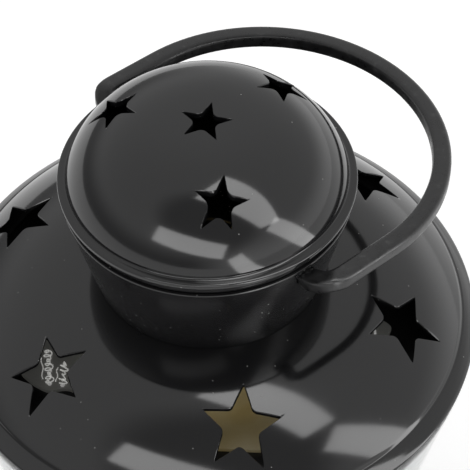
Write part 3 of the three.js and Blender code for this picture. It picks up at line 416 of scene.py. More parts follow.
# Each row is a cell's Y and the way along X that its positive end faces.
CELL_ROWS = ((-10.9, 1), (0.0, -1), (10.9, 1))
CELL_R, CELL_Z, BAND_FROM = 5.1, 9.4, 15.6
cell_outline = [(0, -18.3), (4.2, -18.3), (4.4, -18.1), (4.6, -18.2), (4.85, -18.25), (5.05, -18.05)]
cell_outline += [(CELL_R, z) for z in (-17.7, -8.0, 0.0, 8.0, BAND_FROM, BAND_FROM + 0.01, 20.0, 24.7)]
cell_outline += [
    (5.05, 25.05), (4.85, 25.25), (4.5, 25.2), (4.3, 24.9), (2.6, 24.85), (2.3, 25.0), (1.95, 25.3),
    (1.9, 25.9), (1.7, 26.2), (0, 26.2)]
cell = turned("cell", cell_outline, 48)
cell.rotation_euler = (0, math.pi / 2, 0)
close_edit(cell)

# PVC shrink sleeve, printed in one dark slate tone: glossy, with a faint seam of wrinkles near the ends.
sleeve = mottled(
    "printed_shrink_sleeve", {"Scale": 250.0, "Detail": 3.0}, [(0.35, 0x33424F), (0.7, 0x3F4F5C)],
    (0.2, 0.34), (0.4, 0.00003), {"IOR": 1.53})
# The band is the same film over a coppery ink, which takes a metallic sheen.
band = mottled(
    "copper_ink_band", {"Scale": 2500.0}, [(0.35, 0xA8683C), (0.7, 0xC08456)], 0.3, look={"Metallic": 0.6})

for i, (row, side) in enumerate(CELL_ROWS):
    one = placed_copy(cell, f"sleeved_cell_{i + 1}", (0, row, CELL_Z), 0 if side > 0 else 180)
    dress(one, sleeve, stands_for=[f"battery_{i + 1}"])
    one.data.materials.append(band)
    one.data.materials.append(zinc)
    for face in one.data.polygons:
        along = face.center.x * side / MM
        out = math.hypot(face.center.y / MM - row, face.center.z / MM - CELL_Z)
        face.material_index = 2 if out < CELL_R - 0.65 else 1 if along > BAND_FROM else 0
bpy.data.objects.remove(cell)


def poly_line(curve, points):
    """Adds a line through points in mm to a curve."""
    spline = curve.splines.new("POLY")
    spline.points.add(len(points) - 1)
    for point, where in zip(spline.points, points):
        x, y, z = (*where, 0.0)[:3]
        point.co = (x * MM, y * MM, z * MM, 1)
    return spline


def new_object(name, data):
    """A new object in the scene."""
    item = bpy.data.objects.new(name, data)
    bpy.context.scene.collection.objects.link(item)
    return item


def as_mesh(name, curve):
    """A mesh piece made of a curve."""
    alone(new_object(name, curve))
    bpy.ops.object.convert(target="MESH")
    return bpy.context.object


def tube(name, points, radius, sides=8, straight=False):
    """A round wire through points in mm, as a mesh."""
    line = bpy.data.curves.new(name, "CURVE")
    line.dimensions = "3D"
    line.bevel_depth, line.bevel_resolution, line.use_fill_caps = radius * MM, max(1, sides // 4), True
    if straight:
        poly_line(line, points)
    else:
        line.resolution_u = 10
        run_line = line.splines.new("BEZIER")
        run_line.bezier_points.add(len(points) - 1)
        for point, where in zip(run_line.bezier_points, points):
            point.co = Vector(where) * MM
            point.handle_left_type = point.handle_right_type = "AUTO"
    return smooth(as_mesh(name, line), 50)


# Nickel plate over spring steel: a warm, bright metal, polished smooth and drawn along the wire.
nickel = mottled(
    "nickel_plated_spring_steel", {"Scale": 1500.0, "Detail": 3.0}, [(0.35, 0xCFCCC4), (0.7, 0xB5B1A8)],
    (0.12, 0.3), look={"Metallic": 1.0})


def use_material(material, *names):
    """Gives CAD nodes that stay as they are a procedural material in place of their plain one."""
    for name in names:
        nodes[name].data.materials.clear()
        nodes[name].data.materials.append(material)


use_material(nickel, *[f"contact_plate_{i + 1}" for i in range(4)])
SPRING_BACK, SPRING_FRONT, SPRING_R, SPRING_TURNS = 25.85, 18.75, 3, 3.5
for i, (row, side) in enumerate(CELL_ROWS):
    coil = []
    for k in range(85):
        turn = SPRING_TURNS * k / 84
        x = SPRING_BACK - (SPRING_BACK - SPRING_FRONT) * min(1.0, max(0.0, (turn - 0.35) / 2.8))
        y, z = SPRING_R * math.cos(math.tau * turn), SPRING_R * math.sin(math.tau * turn)
        coil.append((-side * x, row + y, CELL_Z + z))
    spring = tube(f"coil_spring_{i + 1}", coil, 0.35, straight=True)
    dress(spring, nickel, stands_for=[f"contact_spring_{i + 1}"])

# Slide switch
# A small two-position slide switch on the plate, soldered to the wires: a matt black case with two
# terminals, and a ribbed knob that reaches down through the plate.
# Glass-filled nylon, moulded: matt black, with a fine grain.
switch_black = mottled(
    "matt_black_nylon", {"Scale": 2200.0, "Detail": 3.0}, [(0.3, 0x0E0E10), (0.75, 0x19191B)], 0.5,
    (0.5, 0.00004), {"IOR": 1.53})
use_material(switch_black, "switch_housing")
knob = slab("ribbed_knob", box_outline(-3.0, -0.4, 30.8, 33.2), 1.3, 8.3, 0.25)
for i in range(1, 5):
    groove = -3.4 + 0.65 * i
    cut_away(knob, slab("rib_cut", box_outline(groove, groove + 0.22, 30.5, 33.5), 1.0, 1.62))
smooth(knob, 35)
dress(knob, switch_black, "switch_knob", ["switch_knob"])

# Clear body
# The tapered tub that shows the candle: polystyrene, injection-moulded, 1.6 mm thick, with a neck
# and an inward flange that the ring clamps under the roof. Its surface is a little scuffed.
BODY_BOTTOM, BODY_SHOULDER, NECK_TOP = 28.1, 134.2, 135.4
BODY_FOOT_R, BODY_TOP_R = 46.5, 68.5
taper = (BODY_TOP_R - BODY_FOOT_R) / (BODY_SHOULDER - BODY_BOTTOM)
tub_outline = [(BODY_FOOT_R - 0.5, BODY_BOTTOM), (BODY_FOOT_R, BODY_BOTTOM + 0.5)]
for i in range(1, 24):
    z = BODY_BOTTOM + (BODY_SHOULDER - BODY_BOTTOM - 0.8) * i / 23
    tub_outline.append((BODY_FOOT_R + taper * (z - BODY_BOTTOM), z))
tub_outline += [
    (68.2, BODY_SHOULDER - 0.15), (67.7, BODY_SHOULDER), (65.7, BODY_SHOULDER), (65.3, BODY_SHOULDER + 0.4),
    (65.3, NECK_TOP - 0.3), (65.0, NECK_TOP), (60.3, NECK_TOP), (60.0, NECK_TOP - 0.3), (60.0, 134.2),
    (60.3, 133.9), (63.7, 133.9)]
for i in range(24):
    z = 132.4 - (132.4 - BODY_BOTTOM - 0.5) * i / 23
    tub_outline.append((BODY_FOOT_R + taper * (z - BODY_BOTTOM) - 1.63, z))
tub_outline.append((BODY_FOOT_R - 1.2, BODY_BOTTOM))
clear_tub = turned("clear_tub", tub_outline, 192)

# Crystal polystyrene: water-clear and glossy, with hairline scuffs that only show in a highlight.
clear_plastic, place = blank_material("clear_polystyrene")
haze = add_node(clear_plastic, "TexNoise", {"Vector": place, "Scale": 60.0, "Detail": 5.0})
drawn_out = add_node(clear_plastic, "Mapping", {"Vector": place, "Scale": (1.0, 1.0, 0.06)})
hairs = add_node(clear_plastic, "TexNoise", {"Vector": drawn_out, "Scale": 900.0, "Detail": 3.0})
scuffed = add_node(clear_plastic, "MapRange", {
    "Value": haze, "From Min": 0.4, "From Max": 0.75, "To Min": 0.02, "To Max": 0.16})
hair_bump = add_node(clear_plastic, "Bump", {"Strength": 0.12, "Distance": 0.00002, "Height": hairs})
finished(clear_plastic, "BsdfPrincipled", {
    "Base Color": linear(0xEEF2F2), "Roughness": scuffed, "IOR": 1.5, "Transmission Weight": 1.0,
    "Normal": hair_bump})
dress(clear_tub, clear_plastic, stands_for=["clear_body"])

# The neck and the flange under the roof are coloured matt black as painted shade, for the shade under the
# roof.
painted_shade_black, place = blank_material("painted_shade_black_band")
brushed = add_node(painted_shade_black, "TexNoise", {"Vector": place, "Scale": 500.0, "Detail": 3.0})
uneven = add_node(painted_shade_black, "MapRange", {
    "Value": brushed, "From Min": 0.3, "From Max": 0.7, "To Min": 0.7, "To Max": 0.95})
finished(painted_shade_black, "BsdfPrincipled", {"Base Color": linear(0x0C0C0C), "Roughness": uneven, "IOR": 1.45})
clear_tub.data.materials.append(painted_shade_black)
# Painted shade: the faces of the neck and the flange take the black.
for face in clear_tub.data.polygons:
    if face.center.z > 133.85 * MM and math.hypot(face.center.x, face.center.y) < 65.45 * MM:
        face.material_index = 1

# Candle
# The LED candle on the deck: an ivory shell like wax, moulded in polyethylene, with a worn, sunken top, two
# screw bosses in its foot and two posts for the circuit board.
candle_outline = [(13.5, 28.3), (13.7, 28.1), (21.5, 28.1), (21.9, 28.4), (22.0, 28.9)]
candle_outline += [(22.0, 30 + 2.75 * i) for i in range(21)]
candle_outline += [
    (21.95, 86.6), (21.8, 87.4), (21.4, 88.0), (20.9, 88.05), (20.4, 87.7), (19.4, 86.4), (18.0, 84.9),
    (16.2, 84.0), (13.0, 83.5), (9.0, 83.2), (6.6, 83.1), (3.5, 83.1), (3.3, 82.9), (3.3, 81.1), (19.6, 81.1)]
candle_outline += [(20.2, 80.5 - 5.0 * i) for i in range(10)] + [(20.2, 30.6), (19.7, 30.1), (13.5, 30.1)]
candle = turned("wax_candle", candle_outline, 120)
# The rim is worn down in waves, and the side is a little uneven.
RIM_FROM = 84.0
for vertex in candle.data.vertices:
    x, y, z = (c / MM for c in vertex.co)
    out, turn = math.hypot(x, y), math.atan2(y, x)
    if z > RIM_FROM and out > 16.0:
        wave = 0.5 * math.sin(2 * turn + 0.6) + 0.35 * math.sin(5 * turn + 2.0) + 0.2 * math.sin(9 * turn)
        worn_by = (z - RIM_FROM) / 4.0 * wave
        vertex.co.z += (worn_by - 0.6) * MM * 0.8
    if out > 20.8 and 29.5 < z < 86:
        push = 0.12 * math.sin(3 * turn + z / 9) + 0.08 * math.sin(7 * turn - z / 6)
        vertex.co.x -= math.cos(turn) * (0.2 - push) * MM * 0.5
        vertex.co.y -= math.sin(turn) * (0.2 - push) * MM * 0.5
board_screw_places = [(0, 6.5), (0, -6.5)]
foot_bosses = pegs("foot_bosses", candle_screw_places, 2.6, 29.6, 36.1)
cut_away(candle, foot_bosses, pegs("posts", board_screw_places, 2.2, 74.2, 81.6), how="UNION")
foot_threads = pegs("foot_threads", candle_screw_places, 1.3, 27.1, 35.1)
cut_away(candle, foot_threads, pegs("post_threads", board_screw_places, 0.9, 73.1, 80.1))
smooth(candle, 35)

# Polyethylene made to look like wax: milky, light scatters a few millimetres deep, and the surface has
# soft ripples as of wax that has run, with a slightly deeper tone in places.
wax, place = blank_material("ivory_wax_polyethylene")
drawn_out = add_node(wax, "Mapping", {"Vector": place, "Scale": (1.0, 1.0, 0.25)})
ripple = add_node(wax, "TexNoise", {"Vector": drawn_out, "Scale": 160.0, "Detail": 4.0})
tone = add_node(wax, "ValToRGB", {"Fac": ripple}, stops=[(0.3, 0xE9DDC0), (0.7, 0xF3EAD4)])
soft = add_node(wax, "Bump", {"Strength": 0.5, "Distance": 0.0003, "Height": ripple})
finished(wax, "BsdfPrincipled", {
    "Base Color": tone, "Roughness": 0.45, "IOR": 1.45, "Subsurface Weight": 0.35,
    "Subsurface Radius": (1.0, 0.7, 0.4), "Subsurface Scale": 0.003, "Normal": soft})
dress(candle, wax, stands_for=["candle_body"])
set_screws("candle", candle_screw_places, 25.9, 40, 8.0)

# Circuit board and LED
# A round glass-epoxy board, screwed up under the candle's top. The LED is soldered to it by its two leads
# and stands up through the hole in the top.
# Solder mask over woven glass cloth: a green gloss, with the weave showing faintly.
board_green, place = blank_material("green_solder_mask")
weave = add_node(board_green, "TexBrick", {
    "Vector": place, "Scale": 700.0, "Color1": linear(0x2A683D), "Color2": linear(0x2E7043),
    "Mortar": linear(0x1F5A33), "Mortar Size": 0.05})
finished(board_green, "BsdfPrincipled", {"Base Color": weave, "Roughness": 0.35, "IOR": 1.55})
use_material(board_green, "circuit_board")
set_screws("board", board_screw_places, 72.8, 30, 5.2, 0.8, 1.6, 1.0, 0.7)

LED_FOOT, LED_R, LED_DOME = 79.5, 2.5, 5.0
led_outline = [(0, 0), (2.6, 0), (2.85, 0.1), (2.9, 0.3), (2.9, 0.6), (2.8, 0.8), (LED_R, 0.85), (LED_R, 2.5)]
arc = [math.radians(10 * i) for i in range(9)]
led_outline += [(LED_R * math.cos(a), LED_DOME + LED_R * math.sin(a)) for a in arc] + [(0, LED_DOME + LED_R)]
bulb = turned("led_bulb", [(r, z + LED_FOOT) for r, z in led_outline], 40)
leads = pegs("leads", [(-1.27, 0), (1.27, 0)], 0.3, 74.2, LED_FOOT + 0.5, 12)
# Clear epoxy, cast: water-clear with a warm tint from the chip behind it.
epoxy = mottled(
    "cast_clear_epoxy", {"Scale": 600.0}, [(0.3, 0xF6E7BE), (0.7, 0xFFF4D8)], 0.06,
    look={"IOR": 1.53, "Transmission Weight": 0.85})
dress(bulb, epoxy, stands_for=["led"])
dress(leads, zinc)
leads.name = "led_leads"

# Flame lens
# The flame-shaped cap that the LED shines into: frosted amber polystyrene, moulded with a hollow foot. It
# stands on the candle's top, over the LED.
flame_outline = [
    (2.8, 83.2), (4.1, 83.2), (4.3, 83.4), (4.75, 84.6), (5.27, 85.6), (5.52, 87.0), (5.6, 88.5),
    (5.5, 90.2), (5.04, 92.8), (4.4, 95.2), (3.47, 98.1), (2.5, 100.8), (1.57, 103.4), (0.9, 105.3),
    (0.4, 106.6), (0, 107.2)]
flame_outline += [(0, 88.0), (0.9, 87.7), (1.96, 87.0), (2.6, 86.3), (2.8, 85.75)]
flame = turned("flame_cap", flame_outline, 56, closed=False)
# Frosted amber: the light spreads inside it, so it glows deeper where it is thick and pale at its tip.
amber, place = blank_material("frosted_amber_polystyrene")
height = add_node(amber, "SeparateXYZ", {"Vector": place})
climb = add_node(amber, "MapRange", {"Value": height.outputs["Z"], "From Min": 0.0832, "From Max": 0.1072})
tone = add_node(amber, "ValToRGB", {"Fac": climb}, stops=[(0.0, 0xF0B24E), (0.45, 0xF5C977), (1.0, 0xFBE3B4)])
frost = add_node(amber, "TexNoise", {"Vector": place, "Scale": 1800.0, "Detail": 3.0})
grit = add_node(amber, "Bump", {"Strength": 0.4, "Distance": 0.00005, "Height": frost})
finished(amber, "BsdfPrincipled", {
    "Base Color": tone, "Roughness": 0.38, "IOR": 1.5, "Transmission Weight": 0.35,
    "Subsurface Weight": 0.3, "Subsurface Radius": (1.0, 0.6, 0.25), "Subsurface Scale": 0.004,
    "Normal": grit})
dress(flame, amber, stands_for=["flame_lens"])

# Wires
# Three stranded copper wires in extruded PVC. They run from the contacts to the switch, and up through the
# hole in the deck to the board.
WIRES = {
    "wire_battery_to_switch": [
        (27.5, -10.9, 18.7), (28.5, -7.9, 19.2), (24.0, 12.16, 19.2), (12.0, 25.6, 19.2), (5.5, 31.0, 15.6),
        (4.0, 32.0, 12.9)],
    "wire_switch_to_board": [
        (-4.0, 32.0, 12.9), (-4.5, 30.0, 16.2), (-1.0, 16.0, 20.2), (2.16, 3.9, 21.7), (2.7, 1.0, 34.0),
        (4.14, -2.0, 56.7), (3.6, 0, 72.6)],
    "wire_battery_to_board": [
        (-27.5, 10.9, 18.7), (-28.0, 7.9, 19.2), (-18.0, -2.0, 19.2), (-4.05, -3.0, 21.2), (-2.7, -1.0, 34.0),
        (-4.14, 1.5, 56.7), (-3.6, 0, 72.6)],
}


def insulation(name, light, dark):
    """Extruded PVC in one colour: it has a soft sheen and faint marks along the wire."""
    tones = [(0.3, dark), (0.7, light)]
    return mottled(name, {"Scale": 700.0, "Detail": 3.0}, tones, 0.42, look={"IOR": 1.53})


red_pvc = insulation("red_pvc", 0xB02A24, 0x97201C)
black_pvc = insulation("black_pvc", 0x1B1B1B, 0x111111)
for name, route in WIRES.items():
    wire = tube(name.replace("wire", "pvc_wire"), route, 0.7, 12)
    if name == "wire_battery_to_board":
        dress(wire, black_pvc, stands_for=[name])
    else:
        dress(wire, red_pvc, stands_for=[name])

# Ring under the roof
# A flat black ring, moulded in ABS and screwed up into the roof's bosses. It clamps the tub's flange, and
# the diffuser lies on it.
RING_HOLE, RING_R = 38.0, 63.0
ring = turned("roof_ring_plate", rounded(box_outline(RING_HOLE, RING_R, 132.4, 133.8), 0.3), 144)
ring_screw_places = three_round(56, -51.6)
cut_away(ring, pegs("ring_holes", ring_screw_places, 1.5, 131, 135))
smooth(ring, 35)
dress(ring, satin_black, stands_for=["roof_ring"])
set_screws("ring", ring_screw_places, 132.3, 35, 6.4)

# Star diffuser
# A thin sheet of warm ivory styrene laid over the ring's opening. It is cut out by hand, so its edge
# wanders, and it shows in the roof's front stars.

# Each point of its edge is how far it reaches past the ring's hole, and an azimuth.
DIFFUSER_EDGE = [
    (14.6, -157), (13, -151.5), (11, -147), (7.6, -145.4), (5.8, -143.4), (6.2, -138), (9.5, -112), (8, -84),
    (10, -75), (10.5, -45), (8, -24), (8.7, -14.6), (9.3, -11), (8.1, -9.5), (5.5, -7.6), (2, -4), (2, 6),
    (4, 18), (9.5, 50), (10.5, 80), (9.5, 110), (11, 140), (10.5, 165), (12, -170)]
corners = [tuple(polar(RING_HOLE + past, azimuth)[:2]) for past, azimuth in DIFFUSER_EDGE]
diffuser = slab("star_diffuser_sheet", rounded(corners, 1.5, 4), 133.9, 135.1, 0.15)
smooth(diffuser, 30)

# Opal styrene sheet: it lets nearly half the light through. It is olive-ivory in front and turns grey towards
# both sides, and its tone is a little uneven. A faint emission in its colour is a painted glow, though the
# sheet is no lamp.
diffuser_sheet, place = blank_material("opal_styrene_sheet")
cloud = add_node(diffuser_sheet, "TexNoise", {"Vector": place, "Scale": 80.0, "Detail": 4.0})
tone = add_node(diffuser_sheet, "ValToRGB", {"Fac": cloud}, stops=[(0.3, 0xC9B98A), (0.7, 0xDCD2B2)])
across = add_node(diffuser_sheet, "SeparateXYZ", {0: place})
sideways = add_node(diffuser_sheet, "Math", {0: across}, operation="ABSOLUTE")
# Grey towards both sides: the colour turns from the ivory tone to grey away from the middle.
grey_sideways = add_node(diffuser_sheet, "MapRange", {"Value": sideways, "From Min": 0.018, "From Max": 0.030})
film = add_node(diffuser_sheet, "Mix", {0: grey_sideways, 6: tone, 7: linear(0x9C9C98)}, data_type="RGBA")
skin = add_node(diffuser_sheet, "BsdfPrincipled", {
    "Base Color": film.outputs[2], "Roughness": 0.45, "IOR": 1.5})
lit_through = add_node(diffuser_sheet, "BsdfTranslucent", {"Color": film.outputs[2]})
both = add_node(diffuser_sheet, "MixShader", {0: 0.45, 1: skin, 2: lit_through})
# Painted glow: this emission stands in for light that comes up through the clear body.
painted_glow = add_node(diffuser_sheet, "Emission", {"Color": film.outputs[2], "Strength": 0.06})
finished(diffuser_sheet, "AddShader", {0: both, 1: painted_glow})
dress(diffuser, diffuser_sheet, stands_for=["star_diffuser"])

# Glue
# Beads of clear hot-melt glue that hold the sheet's edge to the ring, laid by hand. Each is a looping thread
# with a straight one beside it and drops along it.

# Each run is its reach past the ring's hole, its azimuth, half its length and its direction.
GLUE_Z = 135.35
GLUE_RUNS = [
    (7.5, -155, 5.2, 95), (5.2, -150, 3.4, 88), (5.5, -100, 3.6, -8), (6, -45, 4.2, 42), (5.2, 65, 4, 158)]
# Ethylene-vinyl acetate: clear, slightly milky and glossy; a faint white emission is a painted glint.
painted_glint_glue = mottled(
    "clear_glue_with_painted_glint", {"Scale": 900.0}, [(0.35, 0xF2F2EE), (0.7, 0xDADAD4)], 0.12, (0.7, 0.0001),
    {"IOR": 1.48, "Transmission Weight": 0.3, "Emission Color": linear(0xFFFFFF), "Emission Strength": 0.16})
for i, (past, azimuth, half, direction) in enumerate(GLUE_RUNS):
    centre = polar(RING_HOLE + past, azimuth, GLUE_Z)
    along = Vector((math.cos(math.radians(direction)), math.sin(math.radians(direction)), 0))
    aside = Vector((-along.y, along.x, 0))
    loops, thread = [], []
    for k in range(61):
        t = k / 60
        forth = along * half * (2 * t - 1 + 0.13 * math.cos(t * half * 9.0))
        sway = aside * (0.7 + 0.4 * math.sin(t * half * 3.1)) * math.sin(t * half * 9.0 + i)
        loops.append(centre + forth + sway + Vector((0, 0, 0.1 + 0.15 * math.sin(t * half * 4.5))))
        if k % 6 == 0:
            thread.append(centre + aside * (1.6 + 0.2 * math.sin(t * 9 + i)) + along * half * (1.3 * t - 0.7))
    glue = tube(f"glue_run_{i + 1}", loops, 0.16)
    more = [tube("glue_thread", thread, 0.12)]
    for end, size in ((-1.02, 0.55), (-0.55, 0.38), (0.97, 0.42)):
        bpy.ops.mesh.primitive_uv_sphere_add(
            segments=16, ring_count=10, radius=size * MM, location=(centre + along * half * end) * MM)
        more.append(close_edit(bpy.context.object))
    alone(glue)
    for piece in more:
        piece.select_set(True)
    bpy.ops.object.join()
    close_edit(glue, f"glue_run_{i + 1}")
    dress(glue, painted_glint_glue, stands_for=[f"glue_bead_{i + 1}"])
# A short straight string of the same glue lies on the sheet in the star at the right; its painted glint
# stands in for a highlight there.
string = tube("glue_string", [(41.9, -9.4, GLUE_Z), (41.9, -11.3, GLUE_Z)], 0.3, straight=True)
dress(string, painted_glint_glue)

# Roof
# The wide convex roof: black ABS, injection-moulded and highly polished, with six stars punched through,
# a groove where it creases down to its edge, and bosses underneath for the ring's and the collar's screws.
CREASE, SHOULDER = (65.0, 137.7), (28.8, 153.2)
ROOF_WALL, ROOF_BULGE = 0.95, 4.2
chord = math.dist(CREASE, SHOULDER)
bend = chord * chord / (8 * ROOF_BULGE) + ROOF_BULGE / 2
run, rise = CREASE[0] - SHOULDER[0], CREASE[1] - SHOULDER[1]
bend_r = (CREASE[0] + SHOULDER[0]) / 2 + (bend - ROOF_BULGE) * rise / chord
bend_z = (CREASE[1] + SHOULDER[1]) / 2 - (bend - ROOF_BULGE) * run / chord


def roof_height(r, under=0.0):
    """Height in mm of the roof's outside, or of a surface that much under it."""
    return bend_z + math.sqrt((bend - under) ** 2 - (r - bend_r) ** 2)


roof_outline = [(10.2, 153.3), (10.0, 153.5), (10.0, 154.4), (10.2, 154.6)]
roof_outline += [(r, 154.6) for r in (16, 22, 27, 28.4)]
roof_outline += [(r, roof_height(r)) for r in [28.4, 29.6, 30.8] + [32 + 0.8 * i for i in range(41)]]
roof_outline += [
    (64.5, roof_height(64.5)), (64.75, 137.62), (65.0, 137.42), (65.25, 137.4), (65.5, 137.25),
    (66.2, 136.83), (67.0, 136.26), (67.7, 135.7), (68.15, 135.36), (68.4, 135.05), (68.5, 134.75),
    (68.45, 134.4), (68.3, 134.3), (67.4, 134.3), (67.25, 134.5), (67.2, 134.9), (66.0, 135.7),
    (64.9, 136.35), (64.3, 136.75)]
roof_outline += [(r, roof_height(r, ROOF_WALL)) for r in [63.2 - 0.8 * i for i in range(39)]]
roof_outline += [
    (31.6, 152.0), (30.0, 152.15), (28.4, 152.25), (27.4, 152.6), (26.8, 153.2), (22, 153.3), (16, 153.3)]
roof = turned("roof_plain", roof_outline, 192, crisp=50)


def pick(piece, wanted, kind="VERT"):
    """Opens a piece in edit mode with only the vertices or faces selected that a test wants."""
    edit(piece)
    bpy.ops.mesh.select_mode(type=kind)
    bpy.ops.mesh.select_all(action="DESELECT")
    bpy.ops.object.mode_set(mode="OBJECT")
    for item in piece.data.vertices if kind == "VERT" else piece.data.polygons:
        item.select = wanted(item)
    bpy.ops.object.mode_set(mode="EDIT")


# The flare breaks the star's edge, as a punch leaves it.
STAR_FLARE = 0.36


def star_punch(name, tip, waist, hollow, distance, azimuth, turn, height_at, depth, first_tip=1.0):
    """A cutter for one star: straight sides, and a small flare that follows the surface it cuts."""
    bpy.ops.mesh.primitive_circle_add(vertices=10, radius=tip * MM, fill_type="NGON")
    punch = bpy.context.object
    pick(punch, lambda vertex: vertex.index % 2 == 1)
    bpy.ops.transform.resize(value=(waist / tip, waist / tip, 1), center_override=(0, 0, 0))
    pick(punch, lambda vertex: vertex.index == 0)
    bpy.ops.transform.resize(value=(first_tip, first_tip, 1), center_override=(0, 0, 0))
    pick(punch, lambda vertex: vertex.index % 2 == 1)
    bpy.ops.mesh.bevel(offset=hollow * MM, segments=5, affect="VERTICES")
    short_tip = first_tip * tip * MM
    pick(
        punch, lambda vertex: vertex.co.length > 0.97 * tip * MM
        or abs(vertex.co.length - short_tip) < 1e-6)
    bpy.ops.mesh.bevel(offset=0.35 * MM, segments=2, affect="VERTICES")
    bpy.ops.mesh.select_all(action="SELECT")
    bpy.ops.mesh.extrude_region_move(TRANSFORM_OT_translate={"value": (0, 0, -depth * MM)})
    top = 0.0
    for rise_by, grow in ((STAR_FLARE, 1.0 + STAR_FLARE / (0.62 * tip)), (3.0, 1.0)):
        pick(punch, lambda face: abs(face.center.z - top) < 1e-6 and abs(face.normal.z) > 0.9, "FACE")
        bpy.ops.mesh.extrude_region_move(TRANSFORM_OT_translate={"value": (0, 0, rise_by * MM)})
        bpy.ops.transform.resize(value=(grow, grow, 1), center_override=(0, 0, 0))
        top += rise_by * MM
    edit(punch)
    bpy.ops.mesh.select_mode(type="VERT")
    bpy.ops.mesh.select_all(action="SELECT")
    bpy.ops.mesh.normals_make_consistent(inside=False)
    punch.rotation_euler = (0, 0, math.radians(azimuth + turn - 90))
    punch.location = polar(distance, azimuth, -STAR_FLARE / 2) * MM
    close_edit(punch, name)
    for vertex in punch.data.vertices:
        vertex.co.z += height_at(math.hypot(vertex.co.x, vertex.co.y) / MM) * MM
    return punch


# A star's tip, waist and hollow, and then each star's distance, azimuth and turn.
ROOF_STAR = (9.9, 4.3, 0.9)
ROOF_STARS = [
    (49.2, -82.4, 23), (50.8, -21.4, 15), (52.3, 37.1, 14), (51, 98.4, 19), (53.3, 157.3, 23),
    (50.4, -141.6, 21.5)]
collar_screw_places = three_round(25, 90)
under_line = [(r, roof_height(r, 0.5)) for r in (64.5, 60, 56, 52, 48, 44, 40, 36, 32)]
under_roof = turned("under_roof", [(0, 130), (64.5, 130)] + under_line + [(28, 153.9), (0, 153.9)], 96)
bosses = pegs("bosses", ring_screw_places, 3.2, 133.9, 154.0)
collar_bosses = pegs("collar_bosses", collar_screw_places, 3.2, 146.6, 154.0)
for more in (bosses, collar_bosses):
    modified(more, "BOOLEAN", operation="INTERSECT", solver="EXACT", object=under_roof)
bpy.data.objects.remove(under_roof)
cut_away(roof, bosses, collar_bosses, how="UNION")
cut_away(
    roof, pegs("ring_threads", ring_screw_places, 1.3, 132.0, 139.8),
    pegs("collar_threads", collar_screw_places, 1.3, 147.6, 156.0))
for i, spot in enumerate(ROOF_STARS):
    cut_away(roof, star_punch(f"star_{i}", *ROOF_STAR, *spot, roof_height, 12))
smooth(roof, 35)
roof.name = "pierced_roof"

# High-gloss ABS: the surroundings mirror in it at 4 %. The polish of the tool leaves a shallow waviness a
# few millimetres long, handling leaves hairline scuffs, and light dust sits on it in tiny specks.
def polished_black(name, speck_share, wave=0.000003, rough_low=0.07, rough_high=0.13):
    """Polished black ABS, with its own amounts of dust, waviness and gloss."""
    material, place = blank_material(name)
    cloud = add_node(material, "TexNoise", {"Vector": place, "Scale": 35.0, "Detail": 5.0, "Roughness": 0.55})
    gloss = add_node(material, "MapRange", {
        "Value": cloud, "From Min": 0.3, "From Max": 0.7, "To Min": rough_low, "To Max": rough_high})
    waves = add_node(material, "TexNoise", {"Vector": place, "Scale": 280.0})
    wavy = add_node(material, "Bump", {"Strength": 1.0, "Distance": wave, "Height": waves})
    dots = add_node(material, "TexVoronoi", {"Vector": place, "Scale": 600.0, "Randomness": 1.0})
    chosen = add_node(material, "SeparateColor", {"Color": dots.outputs["Color"]})
    few = add_node(material, "Math", {0: chosen, 1: speck_share}, operation="LESS_THAN")
    small = add_node(material, "Math", {0: dots.outputs["Distance"], 1: 0.085}, operation="LESS_THAN")
    dust = add_node(material, "Math", {0: few, 1: small}, operation="MULTIPLY")
    tint = add_node(material, "Mix", {0: dust, 6: linear(0x161617), 7: linear(0x9A9A98)}, data_type="RGBA")
    rough = add_node(material, "Math", {0: gloss, 1: dust}, operation="MAXIMUM")
    return finished(material, "BsdfPrincipled", {
        "Base Color": tint.outputs[2], "Roughness": rough, "IOR": 1.5, "Normal": wavy})


roof_black = polished_black("polished_black_abs_roof", 0.07)
dress(roof, roof_black, stands_for=["roof_shell"])

# Collar
# The tapered cup between roof and cap: polished black ABS, screwed down through its floor, with the handle's
# two pivot holes near its top. The cap's spigot drops into its mouth.
FOOT_R, TOP_R, COLLAR_FOOT, COLLAR_TOP = 29.2, 35.4, 154.7, 180.6
SKIRT_R, SKIRT_FOOT, COLLAR_WALL = 28.45, 153.27, 1.54
PIVOT, PIVOT_AZIMUTH = 176.8, 40
lean = (TOP_R - FOOT_R) / (COLLAR_TOP - COLLAR_FOOT)
collar_outline = rounded([
    (11.0, COLLAR_FOOT), (SKIRT_R, COLLAR_FOOT, 0.05), (SKIRT_R, SKIRT_FOOT, 0.05),
    (FOOT_R - (COLLAR_FOOT - SKIRT_FOOT) * lean, SKIRT_FOOT, 0.05), (TOP_R, COLLAR_TOP, 0.5),
    (TOP_R - COLLAR_WALL, COLLAR_TOP, 0.4), (FOOT_R + 2 * lean - COLLAR_WALL, COLLAR_FOOT + 2.0, 1.0),
    (11.0, COLLAR_FOOT + 2.0)], 0.3, 4)
collar = turned("collar_plain", collar_outline, 192, crisp=40)
along_pins = (0, math.pi / 2, math.radians(PIVOT_AZIMUTH - 90))
bpy.ops.mesh.primitive_cylinder_add(
    vertices=48, radius=2.65 * MM, depth=110 * MM, rotation=along_pins, location=(0, 0, PIVOT * MM))
pivot_bore = close_edit(bpy.context.object, "pivot_bore")
cut_away(collar, pivot_bore, pegs("collar_holes", collar_screw_places, 1.5, 153, 158))
smooth(collar, 35)
collar.name = "tapered_collar"
collar_black = polished_black("polished_black_abs_collar", 0.4, 0.000003, 0.16, 0.3)
dress(collar, collar_black, stands_for=["collar"])
set_screws("collar", collar_screw_places, 156.8, 50, 8.0, points_down=True)

